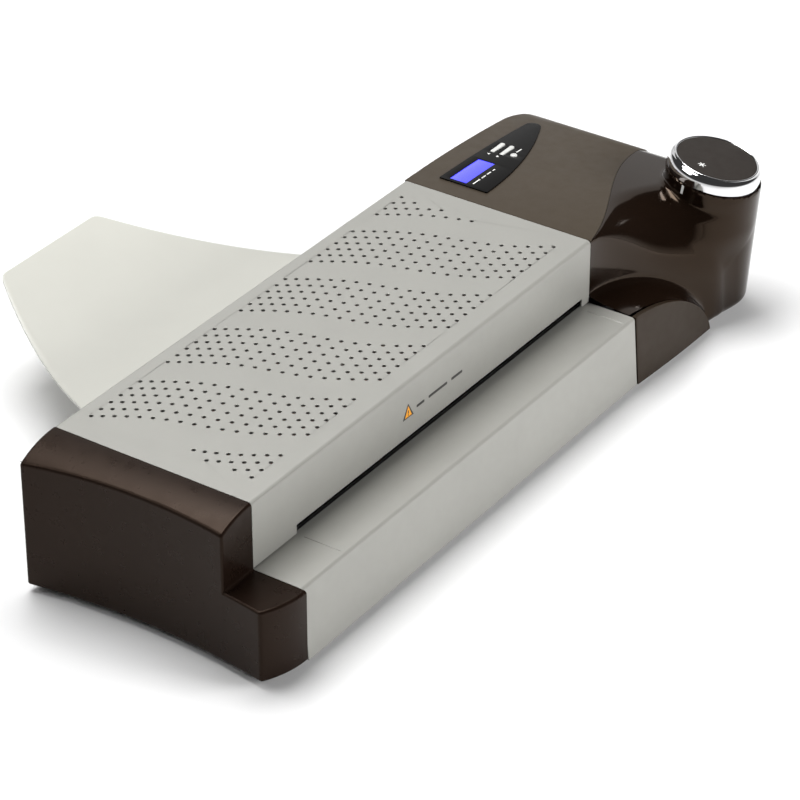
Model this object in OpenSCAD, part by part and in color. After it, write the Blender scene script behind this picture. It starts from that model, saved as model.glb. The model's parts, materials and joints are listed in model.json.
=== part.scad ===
// Pouch laminator with a sheet steel body, moulded ends and a control dial.
// Working coordinates: x = 0 at the left end of the steel body, y = 0 at the
// foot of the front panel, z = 0 under the base pan. place() moves them so
// that the origin is under the middle of the whole machine, at the feet.

/* [Steel body] */
// Length of the steel body between the moulded ends
body_l = 400; // [400:1:404]
// Depth of the body, front panel to back
body_d = 200; // [200:1:202]
// Height of the top cover
body_h = 103.5; // [103:0.5:106]
// Height of the feed table
table_h = 53.5; // [53:0.5:54]
// Distance from the front panel to the upright face of the cover
table_d = 42; // [41:0.5:43]
// How far the front panel leans back at its top
front_lean = 3.9; // [3:0.1:5]
// Thickness of the steel sheet
sheet_t = 1.5; // [1:0.1:1.8]
// Left end of the entry slot
slot_x = 47; // [46:1:50]
// Length of the entry slot
slot_l = 343; // [330:1:345]
// Top of the entry slot
slot_top = 61; // [60.5:0.5:63]

/* [Vent holes] */
// Diameter of one vent hole
hole_d = 3; // [2:0.1:3.6]
// Rows of holes, front to back
hole_rows = 17; // [9:2:17]
// Holes side by side in one band
hole_cols = 6; // [3:1:6]
// Distance between holes side by side
hole_pitch = 10.25; // [8:0.25:11]
// Distance from one band to the next
band_pitch = 80.9; // [76:0.1:84]
// How far a band leans along the body
band_lean = 61; // [40:0.1:70]

/* [Moulded ends] */
// Wall thickness of the mouldings
wall = 2.5; // [2:0.1:3]
// Width of the left end cap
cap_w = 36; // [34:1:38]
// Radius of the left cap's crowned top and front
cap_crown_r = 68; // [64:1:76]
// Radius of the left cap's hollow end face
cap_hollow_r = 543; // [500:1:600]
// Width of the right end housing
housing_w = 170; // [160:1:171]
// Radius of the right housing's crowned top
housing_crown_r = 1300; // [1100:10:1500]
// Radius of the right housing's shoulder
shoulder_r = 25; // [20:1:28]

/* [Pod and dial] */
// Distance from the steel body to the dial tower's axis
tower_dx = 136; // [135:1:137]
// Distance from the front panel to the dial tower's axis
tower_y = 22; // [21:1:24]
// Radius of the tower at its foot
tower_foot_r = 28; // [27:0.5:29]
// Radius of the tower at its top
tower_top_r = 35; // [34.8:0.1:35.5]
// Lean of the dial towards the user, degrees
dial_lean_front = 10.8; // [8:0.1:12]
// Lean of the dial to the right, degrees
dial_lean_side = 5; // [3:0.1:6]
// Radius of the dial's flat insert
dial_r = 29.6; // [28:0.1:30]
// Height of the dial's ring
ring_h = 12; // [11:0.5:13]

/* [Rollers and gears] */
// Outer diameter of a roller
roller_d = 30; // [30:0.1:30.1]
// Diameter of a roller's journals
journal_d = 8; // [6:0.5:9]
// Thickness of the silicone sleeve
sleeve_t = 3; // [2:0.5:4]
// Gap between the two rollers of a pair
nip = 0.2; // [0.1:0.05:0.3]
// Distance from the front panel to the front pair
front_pair_y = 85; // [84:0.5:86]
// Gear module
gear_m = 1.5; // [1.5:0.1:1.5]
// Teeth of a roller gear
gear_teeth = 20; // [20:1:20]
// Teeth of the motor pinion
pinion_teeth = 16; // [16:1:16]
// Width of the gears
gear_w = 8; // [6:0.5:8]

/* [Exit tray] */
// How far the tray reaches behind the body
tray_reach = 184; // [150:1:190]
// Half width of the tray at the body
tray_near_w = 146; // [140:1:150]
// Half width of the tray at its far edge
tray_far_w = 53; // [50:1:70]
// Height of the tray at the body
tray_near_z = 48; // [47.5:0.5:48]
// Height of the tray at its far edge
tray_far_z = 74; // [70:1:80]
// Thickness of the tray
tray_t = 2; // [1.5:0.1:2.4]

/* [Feet] */
// Height of a rubber foot below the pan
foot_h = 5; // [4:0.5:8]
// Diameter of a rubber foot
foot_d = 18; // [14:1:22]

/* [Hidden] */
$fn = 48;
fine = 128;
eps = 0.01;

// whole machine
right_x = body_l + housing_w;
tower_x = body_l + tower_dx;
x_low = -cap_w;
x_high = tower_x + tower_top_r;
y_low = tower_y - tower_top_r;
y_high = body_d + tray_reach;

// rollers
path_z = 57;
rear_pair_y = front_pair_y + 2 * gear_m * gear_teeth;
idler_y = (front_pair_y + rear_pair_y) / 2;
lower_z = path_z - roller_d / 2 - nip / 2;
upper_z = path_z + roller_d / 2 + nip / 2;
left_frame_x = 34;
right_frame_x = 396;
frame_t = 2;
bush_w = 6;
bush_r = 7;
bush_block = 18;
sleeve_x0 = left_frame_x + frame_t + bush_w + 2;
sleeve_x1 = right_frame_x - bush_w - 2;
gear_x = right_frame_x + frame_t + 2.5;
pinion_reach = gear_m * (gear_teeth + pinion_teeth) / 2 / sqrt(2);
pinion_y = front_pair_y - pinion_reach;
pinion_z = lower_z - pinion_reach;
fit = 0.05;

// dial
dial_z = 103.6;
switch_shaft_r = 3;

// control panel
panel_x = body_l + 17;
panel_y = 140.3;
panel_l = 118;
panel_w = 40.7;
panel_t = 1;
lcd_x = body_l + 20;
lcd_y = 160;
lcd_l = 38.5;
lcd_w = 14.5;
key_x = body_l + 82;
upper_key_y = 173.3;
lower_key_y = 165.2;
button_x = body_l + 78.5;
button_y = 157;
key_gap = 0.35;
board_z = 88;

// tabs that hook the tray into the base pan
tab_w = 26;
tab_dx = 90;

// power inlet
inlet_x = body_l + 110;
inlet_z = 30;

module place() {
    translate([-(x_low + x_high) / 2, -(y_low + y_high) / 2, foot_h]) children();
}

// turns a flat outline drawn in y and z into a bar along x
module along_x(x0, x1) {
    translate([x0, 0, 0]) rotate([90, 0, 90]) linear_extrude(x1 - x0) children();
}

// turns a flat outline drawn in x and z into a bar along y
module along_y(y0, y1) {
    translate([0, y1, 0]) rotate([90, 0, 0]) linear_extrude(y1 - y0) children();
}

module rod_x(x0, x1, y, z, r) {
    translate([x0, y, z]) rotate([0, 90, 0]) cylinder(h = x1 - x0, r = r);
}

module box(low, high) {
    translate(low) cube(high - low);
}

function arc(c, r, a0, a1, n = 8) =
    [for (i = [0:n]) let (a = a0 + (a1 - a0) * i / n) c + r * [cos(a), sin(a)]];
function mix(a, b, t) = a + (b - a) * t;
function clamp01(t) = min(1, max(0, t));

// ---------------------------------------------------------------- steel body

module base_pan() {
    color("silver") place() difference() {
        union() {
            box([0.5, 6, 0], [body_l - 0.5, body_d - sheet_t - 0.5, sheet_t]);
            box([0.5, body_d - 2 * sheet_t, 0], [body_l - 0.5, body_d - sheet_t, 52]);
            box([0.5, 6, 0], [body_l - 0.5, 6 + sheet_t, 12]);
        }
        for (s = [-1, 1])
            box([tray_x + s * tab_dx - tab_w / 2 - 1, body_d - 6, 46.5],
                [tray_x + s * tab_dx + tab_w / 2 + 1, body_d + 1, 50.4]);
        for (p = foot_places)
            translate([p[0], p[1], -1]) cylinder(h = 4, r = 2.1);
        for (p = frame_screw_places)
            translate([p[0], p[1], -1]) cylinder(h = 4, r = 1.6);
        for (x = [60:20:340])
            round_slot([x, 100], 24, 2);
    }
}

// a slot with round ends, cut through the pan
module round_slot(c, l, r) {
    translate([c[0], c[1], -1]) {
        translate([0, -l / 2, 0]) cylinder(h = 4, r = r);
        translate([0, l / 2, 0]) cylinder(h = 4, r = r);
        translate([-r, -l / 2, 0]) cube([2 * r, l, 4]);
    }
}

foot_places = [for (x = [22, body_l - 22], y = [22, body_d - 14]) [x, y]];
frame_screw_places = [for (x = [left_frame_x - 7, right_frame_x - 7], y = [70, 160]) [x, y]];

module rubber_feet() {
    color("dimgray") place() for (p = foot_places) translate([p[0], p[1], -foot_h]) {
        difference() {
            union() {
                cylinder(h = 1, r1 = foot_d / 2 - 1, r2 = foot_d / 2);
                translate([0, 0, 1]) cylinder(h = foot_h - 1, r = foot_d / 2);
            }
            translate([0, 0, -1]) cylinder(h = foot_h + 2, r = 2.1);
            translate([0, 0, -1]) cylinder(h = 4.7, r = 4.2);
        }
    }
}

module foot_screws() {
    color("silver") place() for (p = foot_places) translate([p[0], p[1], -foot_h + 2]) {
        cylinder(h = 1.6, r = 3.6);
        cylinder(h = foot_h + 2, r = 2);
    }
}

// front panel and table in one bent sheet
module feed_table() {
    bend = 2.5;
    outer = concat([[0, 0]], arc([front_lean + bend, table_h - bend], bend, 176, 90),
                   [[table_d + 3, table_h], [table_d + 3, table_h - 8]]);
    inner = concat([[table_d + 3 - sheet_t, table_h - 8],
                    [table_d + 3 - sheet_t, table_h - sheet_t]],
                   arc([front_lean + bend, table_h - bend], bend - sheet_t, 90, 176),
                   [[sheet_t, 0]]);
    line_x = [slot_x + 0.5, slot_x + slot_l - 1.5];
    color("silver") place() difference() {
        along_x(0.3, body_l - 0.3) polygon(concat(outer, inner));
        for (x = line_x)
            box([x - 0.5, 8, table_h - 0.4], [x + 0.5, 37, table_h + 1]);
    }
}

// the rows open out a little towards the middle; t runs from back to front
first_row_y = body_d - 12.5;
last_row_y = 59.4;
short_band_rows = 8;
short_band_t = 0.616;
hole_margin = 21.6;
function hole_t(row) =
    let (u = row / (hole_rows - 1)) u - 0.026 * sin(360 * u) - 0.025 * sin(180 * u);

module hole_row(band, t) {
    shift = band_lean * (t + 0.07 * sin(360 * t));
    for (col = [0:hole_cols - 1]) {
        x = 23.3 + (band - 1) * band_pitch + col * hole_pitch + shift;
        if (x > hole_margin && x < body_l - hole_margin)
            translate([x, mix(first_row_y, last_row_y, t)]) circle(r = hole_d / 2, $fn = 24);
    }
}

// five full bands, and a short one with closer rows at the left end
module hole_pattern() {
    for (band = [1:5], row = [0:hole_rows - 1]) hole_row(band, hole_t(row));
    for (row = [0:short_band_rows - 1])
        hole_row(0, mix(short_band_t, 1, row / (short_band_rows - 1)));
}

// upright face, perforated top and back in one bent sheet
module top_cover() {
    bend = 3;
    y0 = table_d;
    y1 = body_d;
    front = concat([[y0, table_h + 1]],
                   arc([y0 + bend, body_h - bend], bend, 180, 90),
                   arc([y0 + bend, body_h - bend], bend - sheet_t, 90, 180),
                   [[y0 + sheet_t, table_h + 1]]);
    back = concat([[y1 - sheet_t, 66]],
                  arc([y1 - bend, body_h - bend], bend - sheet_t, 0, 90),
                  arc([y1 - bend, body_h - bend], bend, 90, 0), [[y1, 66]]);
    color("silver") place() difference() {
        union() {
            along_x(0.3, body_l - 0.3) polygon(front);
            along_x(0.3, body_l - 0.3) polygon(back);
            translate([0, 0, body_h - sheet_t]) linear_extrude(sheet_t) difference() {
                translate([0.3, y0 + bend - eps])
                    square([body_l - 0.6, y1 - y0 - 2 * bend + 2 * eps]);
                hole_pattern();
            }
        }
        box([slot_x, y0 - 1, table_h], [slot_x + slot_l, y0 + 4, slot_top]);
        for (p = cover_screw_places)
            translate([p[0], y1 + 1, p[1]]) rotate([90, 0, 0]) cylinder(h = 4, r = 1.7);
    }
}

cover_screw_places = [[left_frame_x - 6, 80], [right_frame_x - 6, 80]];

module cover_screws() {
    color("gray") place() for (p = cover_screw_places)
        translate([p[0], body_d + 1.8, p[1]]) rotate([90, 0, 0]) {
            cylinder(h = 1.8, r = 3);
            cylinder(h = 6, r = 1.5);
        }
}

// plain three-cornered mark with a bar, generic
module caution_mark() {
    mark_x = 166.5;
    mark_z = 76;
    mark_w = 12.5;
    color("orange") place() translate([mark_x, 0, mark_z]) along_y(table_d - 0.25, table_d) {
        polygon([[0, 0], [mark_w, 0], [mark_w / 2, 10.8]]);
        translate([mark_w + 2, 2.4]) square([56, 4]);
    }
}

// --------------------------------------------------------------- left end cap

// deepest place of the hollow in the end face
cap_hollow_x = -27.4;
cap_hollow_y = 107;

module cap_plan(inset) {
    difference() {
        translate([-cap_w + inset, -1]) square([cap_w + 1, body_d + 1 - inset]);
        translate([cap_hollow_x + inset - cap_hollow_r, cap_hollow_y])
            circle(r = cap_hollow_r, $fn = 360);
    }
}

module cap_front(inset) {
    // the front bulges forward towards the steel body
    intersection() {
        translate([-cap_w - 1, -1]) square([cap_w + 2, 60]);
        translate([0, 0.5 + cap_crown_r]) circle(r = cap_crown_r - inset, $fn = fine);
    }
    translate([-cap_w - 1, 59 - eps]) square([cap_w + 2, body_d - 58]);
}

module cap_solid(inset) {
    intersection() {
        linear_extrude(body_h + 1) intersection() {
            cap_plan(inset);
            cap_front(inset);
        }
        union() {
            box([-cap_w - 1, -1, -1], [2, body_d + 1, table_h - inset]);
            box([-cap_w - 1, table_d + inset, -1], [2, body_d + 1, body_h + 1]);
        }
        along_y(-1, body_d + 1) union() {
            intersection() {
                translate([0, body_h - cap_crown_r])
                    circle(r = cap_crown_r - inset, $fn = fine);
                translate([-cap_w - 1, 60]) square([cap_w + 2, 60]);
            }
            translate([-cap_w - 1, -1]) square([cap_w + 2, 61 + eps]);
        }
    }
}

module left_end_cap() {
    color("#2a211d") place() difference() {
        intersection() {
            cap_solid(0);
            box([-cap_w - 1, -1, 0], [0, body_d + 1, body_h + 1]);
        }
        translate([0, 0, -eps]) cap_solid(wall);
        box([-1, 8, -1], [1, body_d - wall, table_h - wall]);
    }
}

// ---------------------------------------------------------- right end housing

crown_zc = body_h - 0.3 - housing_crown_r;
shoulder_x = right_x - shoulder_r;
shoulder_z = crown_zc + sqrt(pow(housing_crown_r - shoulder_r, 2) - pow(shoulder_x - body_l, 2));
shoulder_a = atan2(shoulder_z - crown_zc, shoulder_x - body_l);

// points along the crown, r_plus above it, from one x to another
function crown_points(r_plus, x0, x1, n = 32) =
    [for (i = [0:n]) let (x = mix(x0, x1, i / n))
     [x, crown_zc + sqrt(pow(housing_crown_r + r_plus, 2) - pow(x - body_l, 2))]];

// curved skin that follows the crown, between two heights above it
module crown_skin(low, high) {
    x0 = body_l + 2;
    x1 = right_x - 12;
    bottom = crown_points(low, x0, x1);
    along_y(60, body_d)
        polygon(concat(crown_points(high, x0, x1),
                       [for (i = [len(bottom) - 1:-1:0]) bottom[i]]));
}

// end view of the housing: crowned top, round shoulder
module housing_elevation(inset) {
    x_tangent = body_l + (housing_crown_r - inset) * cos(shoulder_a);
    crown = crown_points(-inset, body_l - 10, x_tangent);
    polygon(concat([[body_l - 10, -5]], crown,
                   arc([shoulder_x, shoulder_z], shoulder_r - inset, shoulder_a - 4, 0, 12),
                   [[right_x - inset, -5]]));
}

module housing_block(inset) {
    corner = 40;
    intersection() {
        along_y(-20, body_d + 10) housing_elevation(inset);
        translate([0, 0, -6]) linear_extrude(130)
            polygon(concat([[body_l - 10, -22], [right_x - inset, -22]],
                           arc([right_x - corner, body_d - corner], corner - inset, 0, 90, 10),
                           [[body_l - 10, body_d - inset]]));
    }
}

// the joint between housing and pod, seen from above
function seam_y(x) =
    let (t = clamp01((x - body_l) / 150),
         s = 0.35 * sin(90 * t) + 0.65 * (1 - cos(180 * t)) / 2)
    table_d + 0.3 + 50.5 * s;

module pod_zone(gap) {
    xs = [for (x = [body_l - 2:6:right_x + 20]) x];
    translate([0, 0, -1]) linear_extrude(130)
        polygon(concat([for (x = xs) [x, seam_y(x) + gap]],
                       [[right_x + 40, 100], [right_x + 40, -40], [body_l - 2, -40]]));
}

// arched front panel, as an outline in x and z
arch_l = 96;
module arch(gap) {
    n = 16;
    polygon(concat([[body_l + 0.3 - gap, -1]],
                   [for (i = [0:n]) let (u = sin(90 * i / n))
                    [body_l + 0.3 + (arch_l + gap) * u - (i == 0 ? gap : 0),
                     (table_h + gap) * pow(max(0, 1 - u * u), 0.62)]],
                   [[body_l + 0.3 + arch_l + gap, -1]]));
}

function panel_front(x) = -0.5 - 3.2 * sin(90 * min(1, (x - body_l) / 85));

module front_panel_plan() {
    xs = [for (i = [0:12]) body_l + 0.3 + i * arch_l / 12];
    polygon(concat([for (x = xs) [x, panel_front(x)]],
                   [for (i = [12:-1:0]) [xs[i], panel_front(xs[i]) + 4]]));
}

module housing_floor_front() {
    linear_extrude(wall) {
        translate([body_l + 0.3, 0]) square([arch_l - 0.5, 96]);
        translate([body_l + arch_l - 1, 30]) square([56, 66]);
        translate([tower_x, tower_y]) circle(r = tower_foot_r - wall - 2);
    }
}

module right_end_housing() {
    color("#4a4138") place() difference() {
        union() {
            difference() {
                housing_block(0);
                intersection() {
                    housing_block(wall);
                    box([0, -50, wall], [900, 300, 300]);
                }
                box([0, -50, -9], [900, 300, 0]);
                box([0, -50, -5], [body_l + 0.3, 300, 200]);
                pod_zone(0.3);
            }
            housing_floor_front();
            rotate([-atan(front_lean / table_h), 0, 0]) intersection() {
                linear_extrude(table_h + 2) front_panel_plan();
                along_y(-20, 20) arch(0);
            }
        }
        // openings for the display and the keys
        box([lcd_x - 0.5, lcd_y - 0.5, 80], [lcd_x + lcd_l + 0.5, lcd_y + lcd_w + 0.5, 120]);
        key_openings(key_gap);
        // opening for the power inlet
        box([inlet_x - 15.3, body_d - 10, inlet_z - 11.3],
            [inlet_x + 15.3, body_d + 5, inlet_z + 11.3]);
        // cooling slots in the back
        for (i = [0:5])
            box([body_l + 30 + i * 9, body_d - 10, 22], [body_l + 34 + i * 9, body_d + 5, 46]);
    }
}

// ------------------------------------------------------------------------ pod

function tower_r(z) = z < 6 ? mix(tower_foot_r - 1, tower_foot_r + 0.6, z / 6)
                    : z < 95 ? mix(tower_foot_r + 0.6, tower_top_r, (z - 6) / 89)
                    : tower_top_r;
// front edge of the pod where it meets the steel body: table, fillet, upright
function pod_left_y(z) =
    z <= table_h ? front_lean + 0.6
    : z >= table_h + 8 ? table_d + 0.3
    : table_d + 0.3 - 34 * pow(1 - (z - table_h) / 8, 4);

// outline of the pod at one height
function pod_outline(z, inset) =
    let (r = tower_r(z) - inset,
         h = clamp01((z - table_h) / 20),
         a = mix(262, 235, h),
         x1 = tower_x + r * cos(a),
         y1 = tower_y + r * sin(a),
         x0 = body_l + 0.3 - (inset > 0 ? 1 : 0),
         y0 = pod_left_y(z + inset) + inset,
         p = max(1.1, -cos(a) / sin(a) * -1 * (x1 - x0) / (y1 - y0)))
    concat([for (i = [0:11]) let (t = i / 12) [mix(x0, x1, t), mix(y0, y1, pow(t, p))]],
           [for (i = [0:14]) let (b = mix(a, 385, i / 14))
            [tower_x + r * cos(b), tower_y + r * sin(b)]],
           [[right_x - inset, seam_y(right_x) + (inset > 0 ? 3 : 0)]],
           [for (i = [12:-1:0]) let (x = mix(x0, right_x - 4 - inset, i / 12))
            [x, seam_y(x) + (inset > 0 ? 3 : 0)]]);

module pod_loft(inset) {
    levels = inset > 0 ? [-1, 6, 30, 50, 51, 51.5, 52.5, 54, 56, 59.5, 64, 70, 80, 90, 106]
                       : [0.5, 3, 6, 30, 52, 53.5, 54, 55, 56.5, 58.5, 62, 70, 80, 90, 106];
    outlines = [for (z = levels) pod_outline(z, inset)];
    n = len(outlines[0]);
    m = len(levels);
    points = [for (k = [0:m - 1], q = outlines[k]) [q[0], q[1], levels[k]]];
    sides = [for (k = [0:m - 2], i = [0:n - 1]) let (j = (i + 1) % n)
             [k * n + j, k * n + i, (k + 1) * n + i, (k + 1) * n + j]];
    polyhedron(points, concat([[for (i = [0:n - 1]) i]], sides,
                              [[for (i = [n - 1:-1:0]) (m - 1) * n + i]]), 6);
}

// local frame of the dial: origin under the ring, z along the spindle
module on_dial() {
    translate([tower_x - 0.2, tower_y + 0.3, dial_z])
        rotate([dial_lean_front, dial_lean_side, 0]) children();
}

module tower_top(inset) {
    intersection() {
        translate([tower_x, tower_y, 88 - inset])
            cylinder(h = 40, r = tower_top_r - inset, $fn = fine);
        on_dial() translate([-60, -60, -60]) cube([120, 120, 60 - inset]);
    }
}

// the loft, cut off at the housing's crown and shoulder except in the tower
module pod_body(inset) {
    intersection() {
        pod_loft(inset);
        union() {
            along_y(-25, body_d) housing_elevation(inset);
            translate([tower_x, tower_y, -2])
                cylinder(h = 93 - inset, r = tower_top_r - inset, $fn = fine);
        }
    }
}

module pod_cover() {
    color("#1c1311") place() difference() {
        union() {
            pod_body(0);
            tower_top(0);
        }
        pod_body(wall);
        tower_top(wall);
        along_y(-30, 30) arch(0.4);
        box([body_l - 2, -40, -2], [body_l + arch_l + 1, 80, wall + 0.5]);
        on_dial() translate([0, 0, -10]) cylinder(h = 20, r = 5.1);
    }
}

// raised mark beside the dial
module index_mark() {
    color("white") place() intersection() {
        translate([tower_x, tower_y, 80]) difference() {
            cylinder(h = 40, r = tower_top_r + 0.5, $fn = fine);
            translate([0, 0, -1]) cylinder(h = 42, r = tower_top_r + 0.02, $fn = fine);
        }
        on_dial() rotate([0, 0, 172]) translate([tower_top_r - 2, -1, -6.2]) cube([5, 2, 4.2]);
    }
}

// -------------------------------------------------------------- control panel

// a leaf with a straight back, a curved front and a round tip
module panel_leaf() {
    n = 14;
    tip = 6;
    rise = 29.1;
    polygon(concat([for (i = [0:n]) let (u = i / n)
                    [panel_x + panel_l * u, panel_y + rise * u * u]],
                   arc([panel_x + panel_l - 2.6, panel_y + panel_w - tip - 0.2], tip, -55, 88, 8),
                   [[panel_x, panel_y + panel_w]]));
}

module key_openings(gap) {
    for (y = [upper_key_y, lower_key_y])
        box([key_x - 8 - gap, y - 1.8 - gap, 80], [key_x + 8 + gap, y + 1.8 + gap, 120]);
    translate([button_x, button_y, 80]) cylinder(h = 40, r = 2.6 + gap);
}

module control_panel() {
    color("#101010") place() difference() {
        intersection() {
            crown_skin(0.03, panel_t);
            linear_extrude(130) panel_leaf();
        }
        box([lcd_x, lcd_y, 80], [lcd_x + lcd_l, lcd_y + lcd_w, 120]);
        key_openings(key_gap);
    }
}

module lcd_window() {
    color("#4a55f0") place() intersection() {
        crown_skin(-1.5, 0.7);
        box([lcd_x + 0.1, lcd_y + 0.1, 80], [lcd_x + lcd_l - 0.1, lcd_y + lcd_w - 0.1, 120]);
    }
}

module lcd_module() {
    color("darkgreen") place() {
        box([lcd_x - 3, lcd_y - 5, board_z + 3], [lcd_x + lcd_l + 3, lcd_y + lcd_w + 2.5, board_z + 8]);
        box([lcd_x + 1, lcd_y - 4, board_z + 1.6], [lcd_x + lcd_l - 1, lcd_y - 1.5, board_z + 3]);
    }
}

module control_board() {
    posts = [[body_l + 14, 148], [body_l + 14, 184], [body_l + 100, 150], [body_l + 100, 184]];
    color("seagreen") place() {
        box([body_l + 9, 143, board_z], [body_l + 106, 189, board_z + 1.6]);
        intersection() {
            for (p = posts) translate([p[0], p[1], board_z + 1.6]) cylinder(h = 20, r = 3);
            along_y(100, body_d) housing_elevation(wall);
        }
    }
}

module key_switches() {
    color("dimgray") place()
        for (p = [[key_x, upper_key_y], [key_x, lower_key_y], [button_x, button_y]])
            translate([p[0], p[1], board_z + 1.6]) {
                translate([-3, -3, 0]) cube([6, 6, 3.4]);
                translate([0, 0, 3.4]) cylinder(h = 0.8, r = 1.6);
            }
}

key_foot_z = board_z + 1.6 + 3.4 + 0.8 + 0.8;
key_top_z = body_h - 0.9;

module bar_key(y) {
    color("gainsboro") place() {
        box([key_x - 8, y - 1.8, key_foot_z], [key_x + 8, y + 1.8, key_top_z]);
    }
}

module upper_key() { bar_key(upper_key_y); }
module lower_key() { bar_key(lower_key_y); }

module mode_button() {
    color("gainsboro") place() translate([button_x, button_y, key_foot_z]) {
        cylinder(h = key_top_z - 0.5 - key_foot_z, r = 2.6);
        translate([0, 0, key_top_z - 0.5 - key_foot_z]) cylinder(h = 0.7, r1 = 2.6, r2 = 2.1);
    }
}

// ----------------------------------------------------------------------- dial

module rotary_switch() {
    color("slategray") place() on_dial() difference() {
        union() {
            translate([-13, -13, -20]) cube([26, 26, 14]);
            translate([0, 0, -6.1]) cylinder(h = 6.1, r = 5);
        }
        translate([0, 0, -18]) cylinder(h = 30, r = switch_shaft_r + fit);
    }
}

module dial_spindle() {
    color("silver") place() on_dial()
        translate([0, 0, -16]) cylinder(h = 24, r = switch_shaft_r);
}

module dial_hub() {
    color("dimgray") place() on_dial() difference() {
        union() {
            translate([0, 0, ring_h - 5]) cylinder(h = 2, r = dial_r - 0.3, $fn = fine);
            translate([0, 0, 1]) cylinder(h = ring_h - 5, r = 7);
            for (a = [0:60:300]) rotate([0, 0, a])
                translate([6, -0.8, ring_h - 8]) cube([dial_r - 7, 1.6, 3.5]);
        }
        translate([0, 0, -1]) cylinder(h = 9, r = switch_shaft_r + 0.01);
    }
}

module dial_ring() {
    color("white") place() on_dial() rotate_extrude($fn = fine)
        polygon(concat([[tower_top_r - 2.5, 0.5], [tower_top_r - 0.6, 0.5],
                        [tower_top_r - 0.5, 1.2]],
                       arc([dial_r + 1.3, ring_h - 1.2], 1.2, 15, 165, 8),
                       [[dial_r + 0.1, ring_h - 3], [dial_r + 0.1, ring_h - 7],
                        [tower_top_r - 3.2, ring_h - 8.5]]));
}

module dial_insert() {
    color("#45403c") place() on_dial()
        translate([0, 0, ring_h - 3]) cylinder(h = 2.4, r = dial_r, $fn = fine);
}

// -------------------------------------------------------------- side frames

roller_places = [[front_pair_y, lower_z], [front_pair_y, upper_z],
                 [rear_pair_y, lower_z], [rear_pair_y, upper_z]];
tie_places = [[60, 92], [172, 92], [idler_y, 16]];

module side_frame(x) {
    tab = 12;
    difference() {
        union() {
            along_x(x, x + frame_t) difference() {
                union() {
                    translate([54, sheet_t]) square([128, 96.5]);
                    translate([180, 72]) square([body_d - sheet_t - 180, 16]);
                }
                for (p = roller_places) translate(p) circle(r = bush_r);
                for (p = tie_places) translate(p) circle(r = 2);
            }
            // foot flange and the tab behind, both bent to the left
            box([x - tab, 56, sheet_t], [x + eps, 180, 2 * sheet_t]);
            box([x - tab, body_d - 2 * sheet_t, 72], [x + eps, body_d - sheet_t, 88]);
            // tabs that hold the pressure springs from above
            for (p = [front_pair_y, rear_pair_y])
                box(x < body_l / 2 ? [x, p - 5, 96] : [x - bush_w, p - 5, 96],
                    x < body_l / 2 ? [x + frame_t + bush_w, p + 5, 98] : [x + eps, p + 5, 98]);
        }
        for (p = frame_screw_places)
            translate([p[0], p[1], 0]) cylinder(h = 5, r = 1.6);
        for (p = cover_screw_places)
            translate([p[0], body_d + 1, p[1]]) rotate([90, 0, 0]) cylinder(h = 6, r = 1.6);
    }
}

module left_side_frame() {
    color("lightsteelblue") place() side_frame(left_frame_x);
}

module right_side_frame() {
    color("lightsteelblue") place() difference() {
        side_frame(right_frame_x);
        rod_x(right_frame_x - 1, right_frame_x + 5, idler_y, lower_z, 3);
    }
}

module tie_rods() {
    color("silver") place() for (p = tie_places) difference() {
        rod_x(left_frame_x + frame_t, right_frame_x, p[0], p[1], 4);
        rod_x(left_frame_x, left_frame_x + 14, p[0], p[1], 1.6);
        rod_x(right_frame_x - 12, right_frame_x + 1, p[0], p[1], 1.6);
    }
}

module tie_rod_screws() {
    color("gray") place() for (p = tie_places) {
        rod_x(left_frame_x - 2, left_frame_x, p[0], p[1], 3);
        rod_x(left_frame_x - 1, left_frame_x + 10, p[0], p[1], 1.5);
        rod_x(right_frame_x + frame_t, right_frame_x + frame_t + 2, p[0], p[1], 3);
        rod_x(right_frame_x - 8, right_frame_x + frame_t + 1, p[0], p[1], 1.5);
    }
}

module frame_screws() {
    color("gray") place() for (p = frame_screw_places)
        translate([p[0], p[1], 2 * sheet_t]) {
            cylinder(h = 2, r = 3);
            translate([0, 0, -3.2]) cylinder(h = 4, r = 1.5);
        }
}

module roller_bushes() {
    color("peru") place() for (p = roller_places, side = [0, 1]) {
        xf = side == 0 ? left_frame_x : right_frame_x;
        xb = side == 0 ? xf + frame_t : xf - bush_w;
        difference() {
            union() {
                rod_x(xf, xf + frame_t, p[0], p[1], bush_r - 0.02);
                box([xb, p[0] - bush_block / 2, p[1] - bush_block / 2],
                    [xb + bush_w, p[0] + bush_block / 2, p[1] + bush_block / 2]);
            }
            rod_x(xf - 10, xf + 10, p[0], p[1], journal_d / 2 + fit);
        }
    }
}

// a coil spring along z, swept with a five-sided wire
module coil(r, wire_r, h, turns) {
    sides = 5;
    steps = turns * 10;
    rings = [for (i = [0:steps]) let (a = 360 * turns * i / steps, z = h * i / steps)
             [for (j = [0:sides - 1]) let (b = 360 * j / sides)
              [(r + wire_r * cos(b)) * cos(a), (r + wire_r * cos(b)) * sin(a),
               z + wire_r * sin(b)]]];
    skin = [for (i = [0:steps - 1], j = [0:sides - 1], half = [0, 1])
            let (k = (j + 1) % sides, p = i * sides, q = p + sides)
            half == 0 ? [p + j, p + k, q + k] : [p + j, q + k, q + j]];
    ends = [for (j = [1:sides - 2], half = [0, 1])
            half == 0 ? [0, j + 1, j]
                      : [steps * sides, steps * sides + j, steps * sides + j + 1]];
    polyhedron([for (g = rings, q = g) q], concat(skin, ends), 4);
}

module pressure_springs() {
    wire_r = 0.35;
    z0 = upper_z + bush_block / 2 + wire_r + 0.05;
    color("silver") place()
        for (x = [left_frame_x + frame_t + 3, right_frame_x - 3], y = [front_pair_y, rear_pair_y])
            translate([x, y, z0]) coil(2.3, wire_r, 96 - wire_r - 0.05 - z0, 4);
}

// -------------------------------------------------------------------- rollers

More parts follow.
